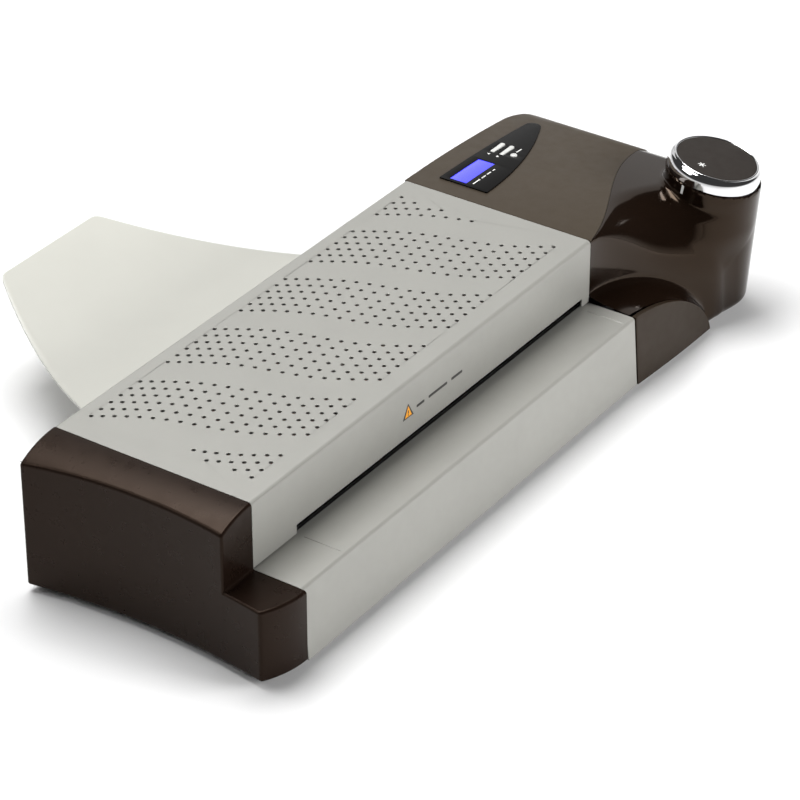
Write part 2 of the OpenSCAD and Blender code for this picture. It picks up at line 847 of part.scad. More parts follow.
module roller_shaft(p) {
    core_r = roller_d / 2 - sleeve_t;
    color("silver") place() {
        rod_x(left_frame_x - 3, gear_x + gear_w + 1, p[0], p[1], journal_d / 2);
        rod_x(sleeve_x0, sleeve_x1, p[0], p[1], core_r);
    }
}

module roller_sleeve(p) {
    color("#7c3b2c") place() difference() {
        rod_x(sleeve_x0, sleeve_x1, p[0], p[1], roller_d / 2);
        rod_x(sleeve_x0 - 1, sleeve_x1 + 1, p[0], p[1], roller_d / 2 - sleeve_t);
    }
}

module front_lower_shaft() { roller_shaft(roller_places[0]); }
module front_upper_shaft() { roller_shaft(roller_places[1]); }
module rear_lower_shaft() { roller_shaft(roller_places[2]); }
module rear_upper_shaft() { roller_shaft(roller_places[3]); }
module front_lower_sleeve() { roller_sleeve(roller_places[0]); }
module front_upper_sleeve() { roller_sleeve(roller_places[1]); }
module rear_lower_sleeve() { roller_sleeve(roller_places[2]); }
module rear_upper_sleeve() { roller_sleeve(roller_places[3]); }

// ---------------------------------------------------------------------- gears

function involute(rb, r) = let (a = r > rb ? acos(rb / r) : 0) tan(a) * 180 / PI - a;

// outline of an involute gear; phase is the direction of one tooth
module gear_outline(teeth, phase) {
    rp = gear_m * teeth / 2;
    rb = rp * cos(20);
    rt = rp + gear_m;
    rf = rp - 1.25 * gear_m;
    slack = 0.09 / rp * 180 / PI;
    radii = [rf, (rf + rb) / 2, rb + 0.05, mix(rb, rt, 0.35), mix(rb, rt, 0.7), rt];
    half = [for (r = radii) 90 / teeth + involute(rb, rp) - involute(rb, r) - slack];
    polygon([for (k = [0:teeth - 1], i = [0:2 * len(radii) - 1])
             let (q = i < len(radii) ? i : 2 * len(radii) - 1 - i,
                  side = i < len(radii) ? -1 : 1,
                  a = phase + 360 * k / teeth + side * half[q])
             radii[q] * [cos(a), sin(a)]]);
}

module gear(teeth, phase, y, z, bore_r) {
    translate([0, y, z]) along_x(gear_x, gear_x + gear_w) difference() {
        gear_outline(teeth, phase);
        circle(r = bore_r);
    }
}

module roller_gear(p, phase) {
    color("ivory") place() gear(gear_teeth, phase, p[0], p[1], journal_d / 2 + 0.01);
}

half_tooth = 180 / gear_teeth;
module front_lower_gear() { roller_gear(roller_places[0], 0); }
module front_upper_gear() { roller_gear(roller_places[1], half_tooth); }
module rear_lower_gear() { roller_gear(roller_places[2], 0); }
module rear_upper_gear() { roller_gear(roller_places[3], half_tooth); }

module idler_gear() {
    color("ivory") place() gear(gear_teeth, half_tooth, idler_y, lower_z, 3 + fit);
}

module idler_pin() {
    color("silver") place() {
        rod_x(right_frame_x, gear_x + gear_w + 1.2, idler_y, lower_z, 3);
        rod_x(gear_x + gear_w + 0.4, gear_x + gear_w + 1.4, idler_y, lower_z, 5);
        rod_x(right_frame_x + frame_t, gear_x - 0.4, idler_y, lower_z, 5);
    }
}

// ---------------------------------------------------------------------- motor

motor_x = gear_x + gear_w + 4;

module motor_bracket() {
    z_top = pinion_z + 22;
    color("lightsteelblue") place() difference() {
        union() {
            box([motor_x - 1.5, pinion_y - 26, sheet_t + 1.05], [motor_x, pinion_y + 24, z_top]);
            box([motor_x - 1.5, pinion_y - 26, sheet_t + 1.05],
                [motor_x + 12, pinion_y - 24.5, 30]);
            box([motor_x - 1.5, pinion_y - 26, sheet_t + 1.05],
                [motor_x + 50, pinion_y + 24, sheet_t + 2.5]);
        }
        rod_x(motor_x - 3, motor_x + 3, pinion_y, pinion_z, 6);
    }
}

module motor() {
    color("darkgray") place() difference() {
        union() {
            rod_x(motor_x, motor_x + 16, pinion_y, pinion_z, 18.5);
            rod_x(motor_x + 16, motor_x + 44, pinion_y, pinion_z, 14);
            rod_x(motor_x - 1.5, motor_x, pinion_y, pinion_z, 5.9);
        }
        rod_x(motor_x - 5, motor_x + 12, pinion_y, pinion_z, 2.5 + fit);
    }
}

module motor_pinion() {
    color("goldenrod") place() {
        gear(pinion_teeth, 0, pinion_y, pinion_z, 2.5 - eps);
        rod_x(gear_x, motor_x + 11, pinion_y, pinion_z, 2.5);
    }
}

// ------------------------------------------------------- paper path and heater

guide_x0 = left_frame_x + frame_t + 0.5;
guide_x1 = right_frame_x - 0.5;

module guide_pair(z, lip) {
    // one plate before the front rollers, one behind the rear rollers
    box([guide_x0, table_d + 4, z], [guide_x1, front_pair_y - 12, z + 1.2]);
    box([guide_x0, table_d + 4, min(z, z + lip)],
        [guide_x1, table_d + 5.2, max(z + 1.2, z + 1.2 + lip)]);
    box([guide_x0, rear_pair_y + 12, z], [guide_x1, body_d - 8, z + 1.2]);
    box([guide_x0, body_d - 9.2, min(z, z + lip)],
        [guide_x1, body_d - 8, max(z + 1.2, z + 1.2 + lip)]);
}

module lower_guides() { color("silver") place() guide_pair(53.3, -5); }
module upper_guides() { color("silver") place() guide_pair(61, 8); }

// a plate between the roller pairs, its two side ribs turned away from the path
module heater_plate(z, up) {
    width = 26;
    plate_t = 5;
    rib_t = 2;
    y0 = idler_y - width / 2;
    box([guide_x0, y0, z], [guide_x1, y0 + width, z + plate_t]);
    for (y = [y0, y0 + width - rib_t])
        box([guide_x0, y, z - (up ? 0 : plate_t)],
            [guide_x1, y + rib_t, z + (up ? 2 : 1) * plate_t]);
}

module upper_heater_plate() { color("lightgray") place() heater_plate(58.5, true); }
module lower_heater_plate() { color("lightgray") place() heater_plate(50.5, false); }

module heater_strips() {
    color("sienna") place() for (z = [63.5, 48])
        box([guide_x0 + 15, idler_y - 9, z], [guide_x1 - 15, idler_y + 9, z + 2.5]);
}

module thermostat() {
    color("black") place() translate([180, idler_y, 66]) {
        cylinder(h = 6, r = 8);
        translate([-3, -10, 6]) cube([2, 20, 1]);
        translate([1, -10, 6]) cube([2, 20, 1]);
    }
}

module thermal_fuse() {
    color("white") place() {
        rod_x(210, 226, idler_y, 68.2, 2.2);
        rod_x(200, 236, idler_y, 68.2, 0.5);
    }
}

// ---------------------------------------------------------------- electronics

module power_board() {
    z = wall + 5;
    color("seagreen") place() {
        box([body_l + 68, 108, z], [body_l + 148, 170, z + 1.6]);
        for (x = [body_l + 73, body_l + 143], y = [113, 165])
            translate([x, y, wall]) cylinder(h = 5, r = 3);
        box([body_l + 76, 120, z + 1.6], [body_l + 108, 152, z + 28]);
        for (i = [0:2])
            translate([body_l + 120 + i * 10, 150, z + 1.6]) cylinder(h = 18, r = 4);
        box([body_l + 118, 112, z + 1.6], [body_l + 142, 116, z + 24]);
    }
}

module power_inlet() {
    color("#151515") place() difference() {
        union() {
            box([inlet_x - 15, body_d - 22, inlet_z - 11], [inlet_x + 15, body_d + 0.5, inlet_z + 11]);
            box([inlet_x - 17, body_d, inlet_z - 13], [inlet_x + 17, body_d + 2, inlet_z + 13]);
        }
        box([inlet_x - 12.2, body_d - 16, inlet_z - 8.2],
            [inlet_x + 12.2, body_d + 5, inlet_z + 8.2]);
    }
    color("silver") place() for (q = [[-7, -1.5], [7, -1.5], [0, 2.5]])
        box([inlet_x + q[0] - 1, body_d - 17, inlet_z + q[1] - 2],
            [inlet_x + q[0] + 1, body_d - 4, inlet_z + q[1] + 2]);
}

// ------------------------------------------------------------------ exit tray

tray_x = slot_x + slot_l / 2;
tray_y0 = body_d + 0.6;
tray_y1 = body_d + tray_reach;
function tray_z(t) = tray_near_z + (tray_far_z - tray_near_z) * pow(max(0, t - 0.33) / 0.67, 2);
function tray_w(t) = mix(tray_near_w, tray_far_w, 0.6 * t + 0.4 * t * t);

module exit_tray() {
    n = 18;
    corner = 10;
    turn = 38;
    last = 1 - corner * (1 - sin(turn)) / tray_reach;
    edge = [for (i = [0:n]) let (t = i / n) [mix(tray_y0, tray_y1, t), tray_z(t)]];
    side = [for (i = [0:n - 1]) let (t = last * i / n) [tray_w(t), mix(tray_y0, tray_y1, t)]];
    round = arc([tray_w(last) - corner * cos(turn), tray_y1 - corner], corner, turn, 90, 8);
    right = concat(side, round);
    left = [for (i = [len(right) - 1:-1:0]) [-right[i][0], right[i][1]]];
    color("gainsboro") place() {
        intersection() {
            along_x(0, body_l) polygon(concat([for (q = edge) q + [0, tray_t]],
                                              [for (i = [n:-1:0]) edge[i]]));
            translate([tray_x, 0, 0]) linear_extrude(150) polygon(concat(right, left));
        }
        for (s = [-1, 1])
            box([tray_x + s * tab_dx - tab_w / 2, body_d - 5.5, tray_near_z - 0.5],
                [tray_x + s * tab_dx + tab_w / 2, tray_y0 + 3, tray_near_z + 1.2]);
    }
}

base_pan();
rubber_feet();
feed_table();
top_cover();
caution_mark();
left_end_cap();
right_end_housing();
pod_cover();
index_mark();
control_panel();
lcd_window();
lcd_module();
control_board();
key_switches();
upper_key();
lower_key();
mode_button();
rotary_switch();
dial_spindle();
dial_hub();
dial_ring();
dial_insert();
left_side_frame();
right_side_frame();
tie_rods();
tie_rod_screws();
frame_screws();
cover_screws();
foot_screws();
roller_bushes();
pressure_springs();
front_lower_shaft();
front_lower_sleeve();
front_lower_gear();
front_upper_shaft();
front_upper_sleeve();
front_upper_gear();
rear_lower_shaft();
rear_lower_sleeve();
rear_lower_gear();
rear_upper_shaft();
rear_upper_sleeve();
rear_upper_gear();
idler_pin();
idler_gear();
motor_bracket();
motor();
motor_pinion();
lower_guides();
upper_guides();
lower_heater_plate();
upper_heater_plate();
heater_strips();
thermostat();
thermal_fuse();
power_board();
power_inlet();
exit_tray();
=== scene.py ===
"""Looks of the pouch laminator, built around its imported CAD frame."""

import json
import math

import bmesh
import bpy
import numpy as np
from mathutils import Matrix, Vector


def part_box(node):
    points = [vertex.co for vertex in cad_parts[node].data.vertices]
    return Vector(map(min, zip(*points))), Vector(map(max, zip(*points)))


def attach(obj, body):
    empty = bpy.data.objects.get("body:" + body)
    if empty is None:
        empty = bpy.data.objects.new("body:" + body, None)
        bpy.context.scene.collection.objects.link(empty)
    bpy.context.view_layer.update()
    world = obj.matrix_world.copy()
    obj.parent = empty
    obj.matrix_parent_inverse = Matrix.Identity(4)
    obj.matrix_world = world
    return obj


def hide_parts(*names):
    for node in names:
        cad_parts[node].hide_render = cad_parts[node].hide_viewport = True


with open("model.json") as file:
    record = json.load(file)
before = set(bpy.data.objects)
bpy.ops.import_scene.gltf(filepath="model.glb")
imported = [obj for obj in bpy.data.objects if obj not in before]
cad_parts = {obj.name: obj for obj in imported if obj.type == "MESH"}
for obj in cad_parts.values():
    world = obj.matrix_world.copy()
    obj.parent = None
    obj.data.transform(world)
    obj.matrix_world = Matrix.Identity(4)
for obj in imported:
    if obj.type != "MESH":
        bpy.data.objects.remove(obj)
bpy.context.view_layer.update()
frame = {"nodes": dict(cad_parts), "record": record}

MM = 0.001

# ------------------------------------------------------------ places and sizes
# Machine coordinates, in millimetres: x = 0 at the left end of the steel body,
# y = 0 at the foot of the front panel, z = 0 under the base pan.
ORIGIN = Vector((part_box("top_cover")[0][0] - 0.3 * MM,
                 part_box("feed_table")[0][1],
                 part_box("base_pan")[0][2]))

BODY_L, BODY_D, BODY_H = 400.0, 200.0, 103.5
TABLE_H, TABLE_D = 53.5, 42.0
FRONT_LEAN = 3.9
WALL = 2.5
JOINT = 0.3
STEEL_GAP = 0.45

CAP_W = 36.0
CAP_CROWN_R = 68.0
CAP_HOLLOW_R = 543.0
CAP_HOLLOW_X, CAP_HOLLOW_Y = -27.4, 107.0

HOUSING_W = 170.0
CROWN_R = 1300.0
SHOULDER_R = 25.0
RIGHT_X = BODY_L + HOUSING_W
CROWN_ZC = BODY_H - 0.3 - CROWN_R
SHOULDER_X = RIGHT_X - SHOULDER_R
SHOULDER_Z = CROWN_ZC + math.sqrt((CROWN_R - SHOULDER_R) ** 2 - (SHOULDER_X - BODY_L) ** 2)
HOUSING_CORNER = 40.0
ARCH_L, ARCH_POWER = 96.0, 0.62
ARCH_BOW, ARCH_BOW_L = 3.2, 85

TOWER_X, TOWER_Y = BODY_L + 136.0, 22.0
TOWER_FOOT_R, TOWER_TOP_R = 28.0, 35.0
POD_FOOT_Y = -4.5
POD_SWEEP_L, POD_SWEEP, POD_SWEEP_POWER = 104, 45.5, 1.66
POD_ROUND, POD_ROUND_RATIO = 48, 1.3
SEAM_L, SEAM_SWEEP = 150, 50.5
NET_STEP, HOLLOW_STEP = 1.5, 3.0
DIAL_X, DIAL_Y, DIAL_Z = TOWER_X - 0.2, TOWER_Y + 0.3, 103.6
DIAL_LEAN_FRONT, DIAL_LEAN_SIDE = 10.8, 5.0
DIAL_R = 29.6
SPINDLE_BORE_R = 5.1
RING_H = 11.9
# angle round the dial of the white line on the pod, a painted highlight; the frost mark stands at the
# same angle
PAINTED_GLINT_ANGLE = 172

INLET_X, INLET_Z = BODY_L + 110, 30
INLET_HALF_L, INLET_HALF_H = 15.3, 11.3
VENTS, VENT_X, VENT_GAP, VENT_R = 6, BODY_L + 32, 9, 2
VENT_LOW, VENT_HIGH = 24, 44

PANEL_X, PANEL_Y, PANEL_L, PANEL_W = BODY_L + 17, 140.3, 118.0, 40.7
PANEL_TIP, PANEL_RISE = 6.0, 29.1
LCD_X, LCD_Y, LCD_L, LCD_W = BODY_L + 20, 160.0, 38.5, 14.5
KEY_X, UPPER_KEY_Y, LOWER_KEY_Y = BODY_L + 82, 173.3, 165.2
BUTTON_X, BUTTON_Y = BODY_L + 78.5, 157.0

TRAY_X = 47 + 343 / 2
TRAY_Y0, TRAY_Y1 = BODY_D + 0.6, BODY_D + 184.0
TRAY_NEAR_Z, TRAY_FAR_Z = 48.0, 74.0
TRAY_NEAR_W, TRAY_FAR_W = 146.0, 53.0
TRAY_T = 2.0


def at(x, y, z):
    """A place in machine millimetres, as a point of the frame in metres."""
    return ORIGIN + Vector((x, y, z)) * MM


# --------------------------------------------------------------------- camera

def set_camera():
    """The photograph's view: from the front left, above, with a long lens."""
    heading, pitch = math.radians(34.39), math.radians(32.11)
    target = Vector((-0.0521, -0.1078, 0.060))
    distance = 2.374
    forward = Vector((math.cos(heading) * math.cos(pitch),
                      math.sin(heading) * math.cos(pitch), -math.sin(pitch)))
    data = bpy.data.cameras.new("camera")
    data.lens, data.sensor_width = 158.2, 36.0
    data.clip_start, data.clip_end = 0.05, 60.0
    camera = bpy.data.objects.new("camera", data)
    camera.location = target - forward * distance
    camera.rotation_euler = forward.to_track_quat("-Z", "Y").to_euler()
    bpy.context.scene.collection.objects.link(camera)
    bpy.context.scene.camera = camera


# ------------------------------------------------------------------ materials

def node_of(tree, kind, **inputs):
    """A shader node with some of its inputs set; a socket as a value is linked."""
    node = tree.nodes.new(kind)
    for key, value in inputs.items():
        socket = node.inputs[key.replace("_", " ")]
        if isinstance(value, bpy.types.NodeSocket):
            tree.links.new(value, socket)
        else:
            socket.default_value = value
    return node


def noise(tree, place, scale, detail=3.0, stretch=(1, 1, 1)):
    mapping = node_of(tree, "ShaderNodeMapping", Vector=place)
    mapping.inputs["Scale"].default_value = stretch
    return node_of(tree, "ShaderNodeTexNoise", Vector=mapping.outputs[0],
                   Scale=scale, Detail=detail, Roughness=0.55).outputs["Fac"]


def spread(tree, value, low, high):
    """Maps a noise, whose middle is 0.5, onto the range low to high."""
    node = node_of(tree, "ShaderNodeMapRange", Value=value)
    node.inputs["From Min"].default_value = 0.25
    node.inputs["From Max"].default_value = 0.75
    node.inputs["To Min"].default_value = low
    node.inputs["To Max"].default_value = high
    return node.outputs[0]


def surface(name, color, rough, metallic=0.0, coat=0.0, coat_rough=0.08, tone=0.06,
            tone_scale=18.0, rough_spread=0.06, grain=2200.0, grain_depth=0.02,
            stretch=(1, 1, 1), specular=0.5, tint=(1, 1, 1)):
    """A procedural finish: colour that drifts a little, uneven gloss, fine grain."""
    material = bpy.data.materials.new(name)
    material.use_nodes = True
    tree = material.node_tree
    shader = tree.nodes["Principled BSDF"]
    place = tree.nodes.new("ShaderNodeTexCoord").outputs["Object"]
    drift = noise(tree, place, tone_scale, 4.0, stretch)
    mix = tree.nodes.new("ShaderNodeMix")
    mix.data_type = "RGBA"
    mix.inputs["A"].default_value = tuple(c * (1 - tone) for c in color) + (1,)
    mix.inputs["B"].default_value = tuple(min(1, c * (1 + tone)) for c in color) + (1,)
    tree.links.new(spread(tree, drift, 0.0, 1.0), mix.inputs["Factor"])
    tree.links.new(mix.outputs["Result"], shader.inputs["Base Color"])
    smear = noise(tree, place, tone_scale * 6, 5.0, stretch)
    tree.links.new(spread(tree, smear, max(0.02, rough - rough_spread), rough + rough_spread),
                   shader.inputs["Roughness"])
    fine = noise(tree, place, grain, 2.0, stretch)
    bump = node_of(tree, "ShaderNodeBump", Strength=0.35, Distance=grain_depth * MM, Height=fine)
    tree.links.new(bump.outputs["Normal"], shader.inputs["Normal"])
    shader.inputs["Metallic"].default_value = metallic
    shader.inputs["Specular IOR Level"].default_value = specular
    shader.inputs["Specular Tint"].default_value = (*tint, 1)
    shader.inputs["Coat Weight"].default_value = coat
    shader.inputs["Coat Roughness"].default_value = coat_rough
    return material


def make_materials():
    """One finish for each material slot of the record, and a few printed inks."""
    m = {}
    m["silver_paint"] = surface("silver_paint", (0.328, 0.324, 0.299), 0.42, metallic=0.25,
                                tone=0.025, grain=2600, grain_depth=0.03, coat=0.15,
                                coat_rough=0.3)
    m["steel_sheet"] = surface("steel_sheet", (0.52, 0.53, 0.54), 0.38, metallic=1.0,
                               tone=0.12, tone_scale=60, grain=900, stretch=(0.1, 1, 1))
    m["steel_rod"] = surface("steel_rod", (0.60, 0.60, 0.61), 0.22, metallic=1.0,
                             tone=0.05, grain=1500, stretch=(1, 0.05, 0.05))
    m["cap_plastic"] = surface("cap_plastic", (0.0095, 0.0052, 0.0036), 0.30, tone=0.10,
                               grain=1800, grain_depth=0.012, specular=0.17,
                               tint=(1.0, 0.70, 0.52))
    m["housing_plastic"] = surface("housing_plastic", (0.046, 0.0355, 0.0245), 0.40,
                                   tone=0.07, grain=2400, grain_depth=0.03, specular=0.3,
                                   tint=(1.0, 0.84, 0.68))
    # A darker copy of the housing plastic: painted shade for the arched front panel under the pod's lip.
    m["housing_plastic_painted_shade"] = surface("housing_plastic_painted_shade", (0.0190, 0.0125, 0.0078), 0.40,
                                tone=0.07, grain=2400, grain_depth=0.03, specular=0.24,
                                tint=(1.0, 0.80, 0.62))
    m["pod_plastic"] = surface("pod_plastic", (0.0068, 0.0036, 0.0022), 0.10,
                               tone=0.12, rough_spread=0.03, grain=120,
                               grain_depth=0.004, specular=0.36, tint=(1.0, 0.74, 0.54))
    m["panel_plastic"] = surface("panel_plastic", (0.0045, 0.0042, 0.0040), 0.16, tone=0.15,
                                 rough_spread=0.03, grain=200, grain_depth=0.004,
                                 specular=0.06)
    m["key_plastic"] = surface("key_plastic", (0.62, 0.62, 0.60), 0.28, tone=0.04,
                               tone_scale=90, coat=0.3)
    m["mark_white"] = surface("mark_white", (0.80, 0.80, 0.78), 0.45, tone=0.05,
                              tone_scale=400)
    m["mark_dark"] = surface("mark_dark", (0.035, 0.033, 0.031), 0.5, tone=0.2,
                             tone_scale=500)
    m["mark_amber"] = surface("mark_amber", (0.80, 0.33, 0.02), 0.45, tone=0.06,
                              tone_scale=300)
    m["board"] = surface("board", (0.012, 0.10, 0.04), 0.35, tone=0.25, tone_scale=160,
                         coat=0.4)
    m["black_plastic"] = surface("black_plastic", (0.012, 0.012, 0.012), 0.45, tone=0.15,
                                 grain_depth=0.05)
    m["dial_chrome"] = surface("dial_chrome", (0.86, 0.86, 0.87), 0.05, metallic=1.0,
                               tone=0.015, rough_spread=0.02, grain=60, grain_depth=0.0006)
    m["dial_face"] = surface("dial_face", (0.022, 0.0175, 0.0145), 0.48, tone=0.06, specular=0.25,
                             grain=3200, grain_depth=0.04)
    m["foot_rubber"] = surface("foot_rubber", (0.018, 0.018, 0.018), 0.75, tone=0.2,
                               grain_depth=0.08)
    m["silicone"] = surface("silicone", (0.22, 0.055, 0.035), 0.5, tone=0.08)
    m["gear_nylon"] = surface("gear_nylon", (0.62, 0.58, 0.48), 0.42, tone=0.05)
    m["pinion_brass"] = surface("pinion_brass", (0.62, 0.42, 0.14), 0.25, metallic=1.0,
                                tone=0.08, tone_scale=120)
    m["bronze"] = surface("bronze", (0.36, 0.20, 0.09), 0.4, metallic=1.0, tone=0.15,
                          tone_scale=200)
    m["heater_aluminium"] = surface("heater_aluminium", (0.68, 0.68, 0.69), 0.34,
                                    metallic=1.0, tone=0.05, stretch=(0.05, 1, 1))
    m["heater_mica"] = surface("heater_mica", (0.30, 0.17, 0.08), 0.55, tone=0.3,
                               tone_scale=70)
    m["fuse_ceramic"] = surface("fuse_ceramic", (0.75, 0.73, 0.68), 0.3, tone=0.05)
    m["motor_steel"] = surface("motor_steel", (0.30, 0.30, 0.31), 0.35, metallic=0.9,
                               tone=0.08)
    m["tray_plastic"] = surface("tray_plastic", (0.51, 0.507, 0.462), 0.36, tone=0.02,
                                grain=1500, grain_depth=0.03, coat=0.2, coat_rough=0.25)
    m["display"] = display_material()
    return m


def display_material():
    """A backlit blue display behind a fine grid of cells."""
    material = surface("display", (0.03, 0.03, 0.75), 0.12, coat=1.0, tone=0.05,
                       tone_scale=60, grain_depth=0.002)
    tree = material.node_tree
    shader = tree.nodes["Principled BSDF"]
    place = tree.nodes.new("ShaderNodeTexCoord").outputs["Object"]
    grid = node_of(tree, "ShaderNodeTexBrick", Vector=place, Scale=1.0)
    grid.offset = 0.0
    grid.inputs["Brick Width"].default_value = 0.6 * MM
    grid.inputs["Row Height"].default_value = 0.6 * MM
    grid.inputs["Mortar Size"].default_value = 0.04 * MM
    grid.inputs["Color1"].default_value = (0.055, 0.06, 0.95, 1)
    grid.inputs["Color2"].default_value = (0.065, 0.07, 1.0, 1)
    grid.inputs["Mortar"].default_value = (0.03, 0.03, 0.75, 1)
    tree.links.new(grid.outputs["Color"], shader.inputs["Emission Color"])
    shader.inputs["Emission Strength"].default_value = 0.85
    return material


# ---------------------------------------------------------------- mesh helpers

def new_object(name, vertices, faces):
    """A mesh object from vertices in machine millimetres."""
    mesh = bpy.data.meshes.new(name)
    mesh.from_pydata([at(*v) for v in vertices], [], faces)
    mesh.update()
    made = bpy.data.objects.new(name, mesh)
    bpy.context.scene.collection.objects.link(made)
    tidy_normals(made)
    return made


def tidy_normals(obj):
    bm = bmesh.new()
    bm.from_mesh(obj.data)
    bmesh.ops.remove_doubles(bm, verts=bm.verts, dist=1e-7)
    bmesh.ops.recalc_face_normals(bm, faces=bm.faces)
    bm.to_mesh(obj.data)
    bm.free()


def smooth(obj, angle):
    obj.data.shade_smooth()
    obj.data.set_sharp_from_angle(angle=math.radians(angle))


def prism(name, outline, axis, low, high):
    """An outline in the two other axes, in order, drawn out along one axis."""
    n = len(outline)
    place = {"x": lambda a, b, c: (c, a, b), "y": lambda a, b, c: (a, c, b),
             "z": lambda a, b, c: (a, b, c)}[axis]
    vertices = [place(a, b, c) for c in (low, high) for a, b in outline]
    sides = [(i, (i + 1) % n, n + (i + 1) % n, n + i) for i in range(n)]
    return new_object(name, vertices, [tuple(range(n - 1, -1, -1)), tuple(range(n, 2 * n))] + sides)


def thick_sheet(name, across, along, place):
    """A closed sheet from two grids of points: place(i, j, side) gives each of them."""
    row = along + 1
    n = (across + 1) * row
    vertices = [place(i, j, side)
                for side in (0, 1) for i in range(across + 1) for j in range(row)]
    corners = [side * n + i * row + j
               for side in (0, 1) for i in range(across) for j in range(along)]
    faces = [(a, a + row, a + row + 1, a + 1) for a in corners]
    rim = ([i * row for i in range(across + 1)]
           + [across * row + j for j in range(1, row)]
           + [i * row + along for i in range(across - 1, -1, -1)]
           + list(range(along - 1, 0, -1)))
    faces += [(a, b, b + n, a + n) for a, b in zip(rim, rim[1:] + rim[:1])]
    return new_object(name, vertices, faces)


def block(name, low, high):
    return prism(name, [(low[0], low[1]), (high[0], low[1]), (high[0], high[1]),
                        (low[0], high[1])], "z", low[2], high[2])


def apply_modifiers(obj):
    graph = bpy.context.evaluated_depsgraph_get()
    graph.update()
    obj.data = bpy.data.meshes.new_from_object(obj.evaluated_get(graph))
    obj.modifiers.clear()


def combine(obj, tool, operation):
    """An exact boolean of obj with tool, which is used up."""
    modifier = obj.modifiers.new("combine", "BOOLEAN")
    modifier.operation, modifier.solver, modifier.object = operation, "EXACT", tool
    apply_modifiers(obj)
    bpy.data.objects.remove(tool)
    return obj


def cut(obj, tool):
    return combine(obj, tool, "DIFFERENCE")


def keep(obj, tool):
    return combine(obj, tool, "INTERSECT")


def round_edges(obj, width, segments, angle, clamp=True):
    modifier = obj.modifiers.new("bevel", "BEVEL")
    modifier.limit_method, modifier.angle_limit = "ANGLE", math.radians(angle)
    modifier.width, modifier.segments = width * MM, segments
    modifier.use_clamp_overlap = clamp
    apply_modifiers(obj)
    return obj


def join(name, pieces):
    """One object out of several, whose meshes already lie in the frame."""
    bm = bmesh.new()
    for piece in pieces:
        bm.from_mesh(piece.data)
        bpy.data.objects.remove(piece)
    mesh = bpy.data.meshes.new(name)
    bm.to_mesh(mesh)
    bm.free()
    made = bpy.data.objects.new(name, mesh)
    bpy.context.scene.collection.objects.link(made)
    return made


def arc(cx, cy, r, a0, a1, n=12):
    return [(cx + r * math.cos(math.radians(a0 + (a1 - a0) * i / n)),
             cy + r * math.sin(math.radians(a0 + (a1 - a0) * i / n))) for i in range(n + 1)]


def place_piece(obj, body, material, nodes=()):
    """Gives a finished piece its material, its body and the nodes it stands for."""
    obj.data.materials.clear()
    obj.data.materials.append(material)
    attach(obj, body)
    if nodes:
        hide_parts(*nodes)
    return obj


CORNERS = [(i, j, k) for i in (0, 1) for j in (0, 1) for k in (0, 1)]


def corner_part(array, c):
    """The values of a grid at one corner of every cell."""
    n = [size - 1 for size in array.shape]
    return array[c[0]:c[0] + n[0], c[1]:c[1] + n[1], c[2]:c[2] + n[2]]


def cell_points(values, cells):
    """For each crossed cell the mean of its edges' crossings, in steps of the grid."""
    total, weight = np.zeros(cells.shape + (3,)), np.zeros(cells.shape)
    for c in CORNERS:
        for d in [d for d in range(3) if not c[d]]:
            e = tuple(c[q] + (q == d) for q in range(3))
            a, b = corner_part(values, c), corner_part(values, e)
            crosses = (a < 0) != (b < 0)
            t = np.where(crosses, a / np.where(a == b, 1, a - b), 0)
            for q in range(3):
                total[..., q] += np.where(crosses, c[q] + (t if q == d else 0), 0)
            weight += crosses
    return np.stack(np.nonzero(cells), 1) + total[cells] / weight[cells][:, None]


def settle(points, field, step, rounds=3, h=0.05):
    """Moves the points onto the field's surface, along its slope."""
    for _ in range(rounds):
        f = field(*points.T)
        slope = np.stack([(field(*(points + h * np.eye(3)[q]).T)
                           - field(*(points - h * np.eye(3)[q]).T)) / (2 * h) for q in range(3)], 1)
        move = -f[:, None] * slope / np.maximum((slope ** 2).sum(1), 1e-3)[:, None]
        points += np.clip(move, -0.4 * step, 0.4 * step)
    return points


def net_faces(inside, index):
    """A quad round every edge of the grid that crosses the surface."""
    shape = index.shape
    faces = []
    for d in range(3):
        u, v = [q for q in range(3) if q != d]
        first = [slice(None)] * 3
        second = [slice(None)] * 3
        first[d], second[d] = slice(0, -1), slice(1, None)
        a, b = inside[tuple(first)], inside[tuple(second)]
        for spot in np.argwhere(a != b):
            if min(spot[u], spot[v]) < 1 or spot[u] >= shape[u] or spot[v] >= shape[v]:
                continue
            ring = []
            for du, dv in ((-1, -1), (0, -1), (0, 0), (-1, 0)):
                cell = spot.copy()
                cell[u] += du
                cell[v] += dv
                ring.append(index[tuple(cell)])
            faces.append(tuple(ring))
    return faces


def surface_net(name, field, low, high, step):
    """A closed mesh where field is 0, negative inside; its points are put on the surface."""
    axes = [np.arange(a, b + step, step) for a, b in zip(low, high)]
    values = field(*np.meshgrid(*axes, indexing="ij"))
    inside = values < 0
    count = sum(corner_part(inside, c).astype(int) for c in CORNERS)
    cells = (count > 0) & (count < len(CORNERS))
    index = -np.ones(cells.shape, dtype=int)
    index[cells] = np.arange(cells.sum())
    points = np.array([axis[0] for axis in axes]) + cell_points(values, cells) * step
    return new_object(name, settle(points, field, step), net_faces(inside, index))


# --------------------------------------------------------------- left end cap

def cap_end_x(y, inset):
    """The hollow end face of the cap at y, seen from above."""
    bulge = math.sqrt(CAP_HOLLOW_R ** 2 - (y - CAP_HOLLOW_Y) ** 2) - CAP_HOLLOW_R
    return max(CAP_HOLLOW_X + bulge + inset, -CAP_W + inset)


def cap_arc(x, inset):
    return math.sqrt((CAP_CROWN_R - inset) ** 2 - x * x)


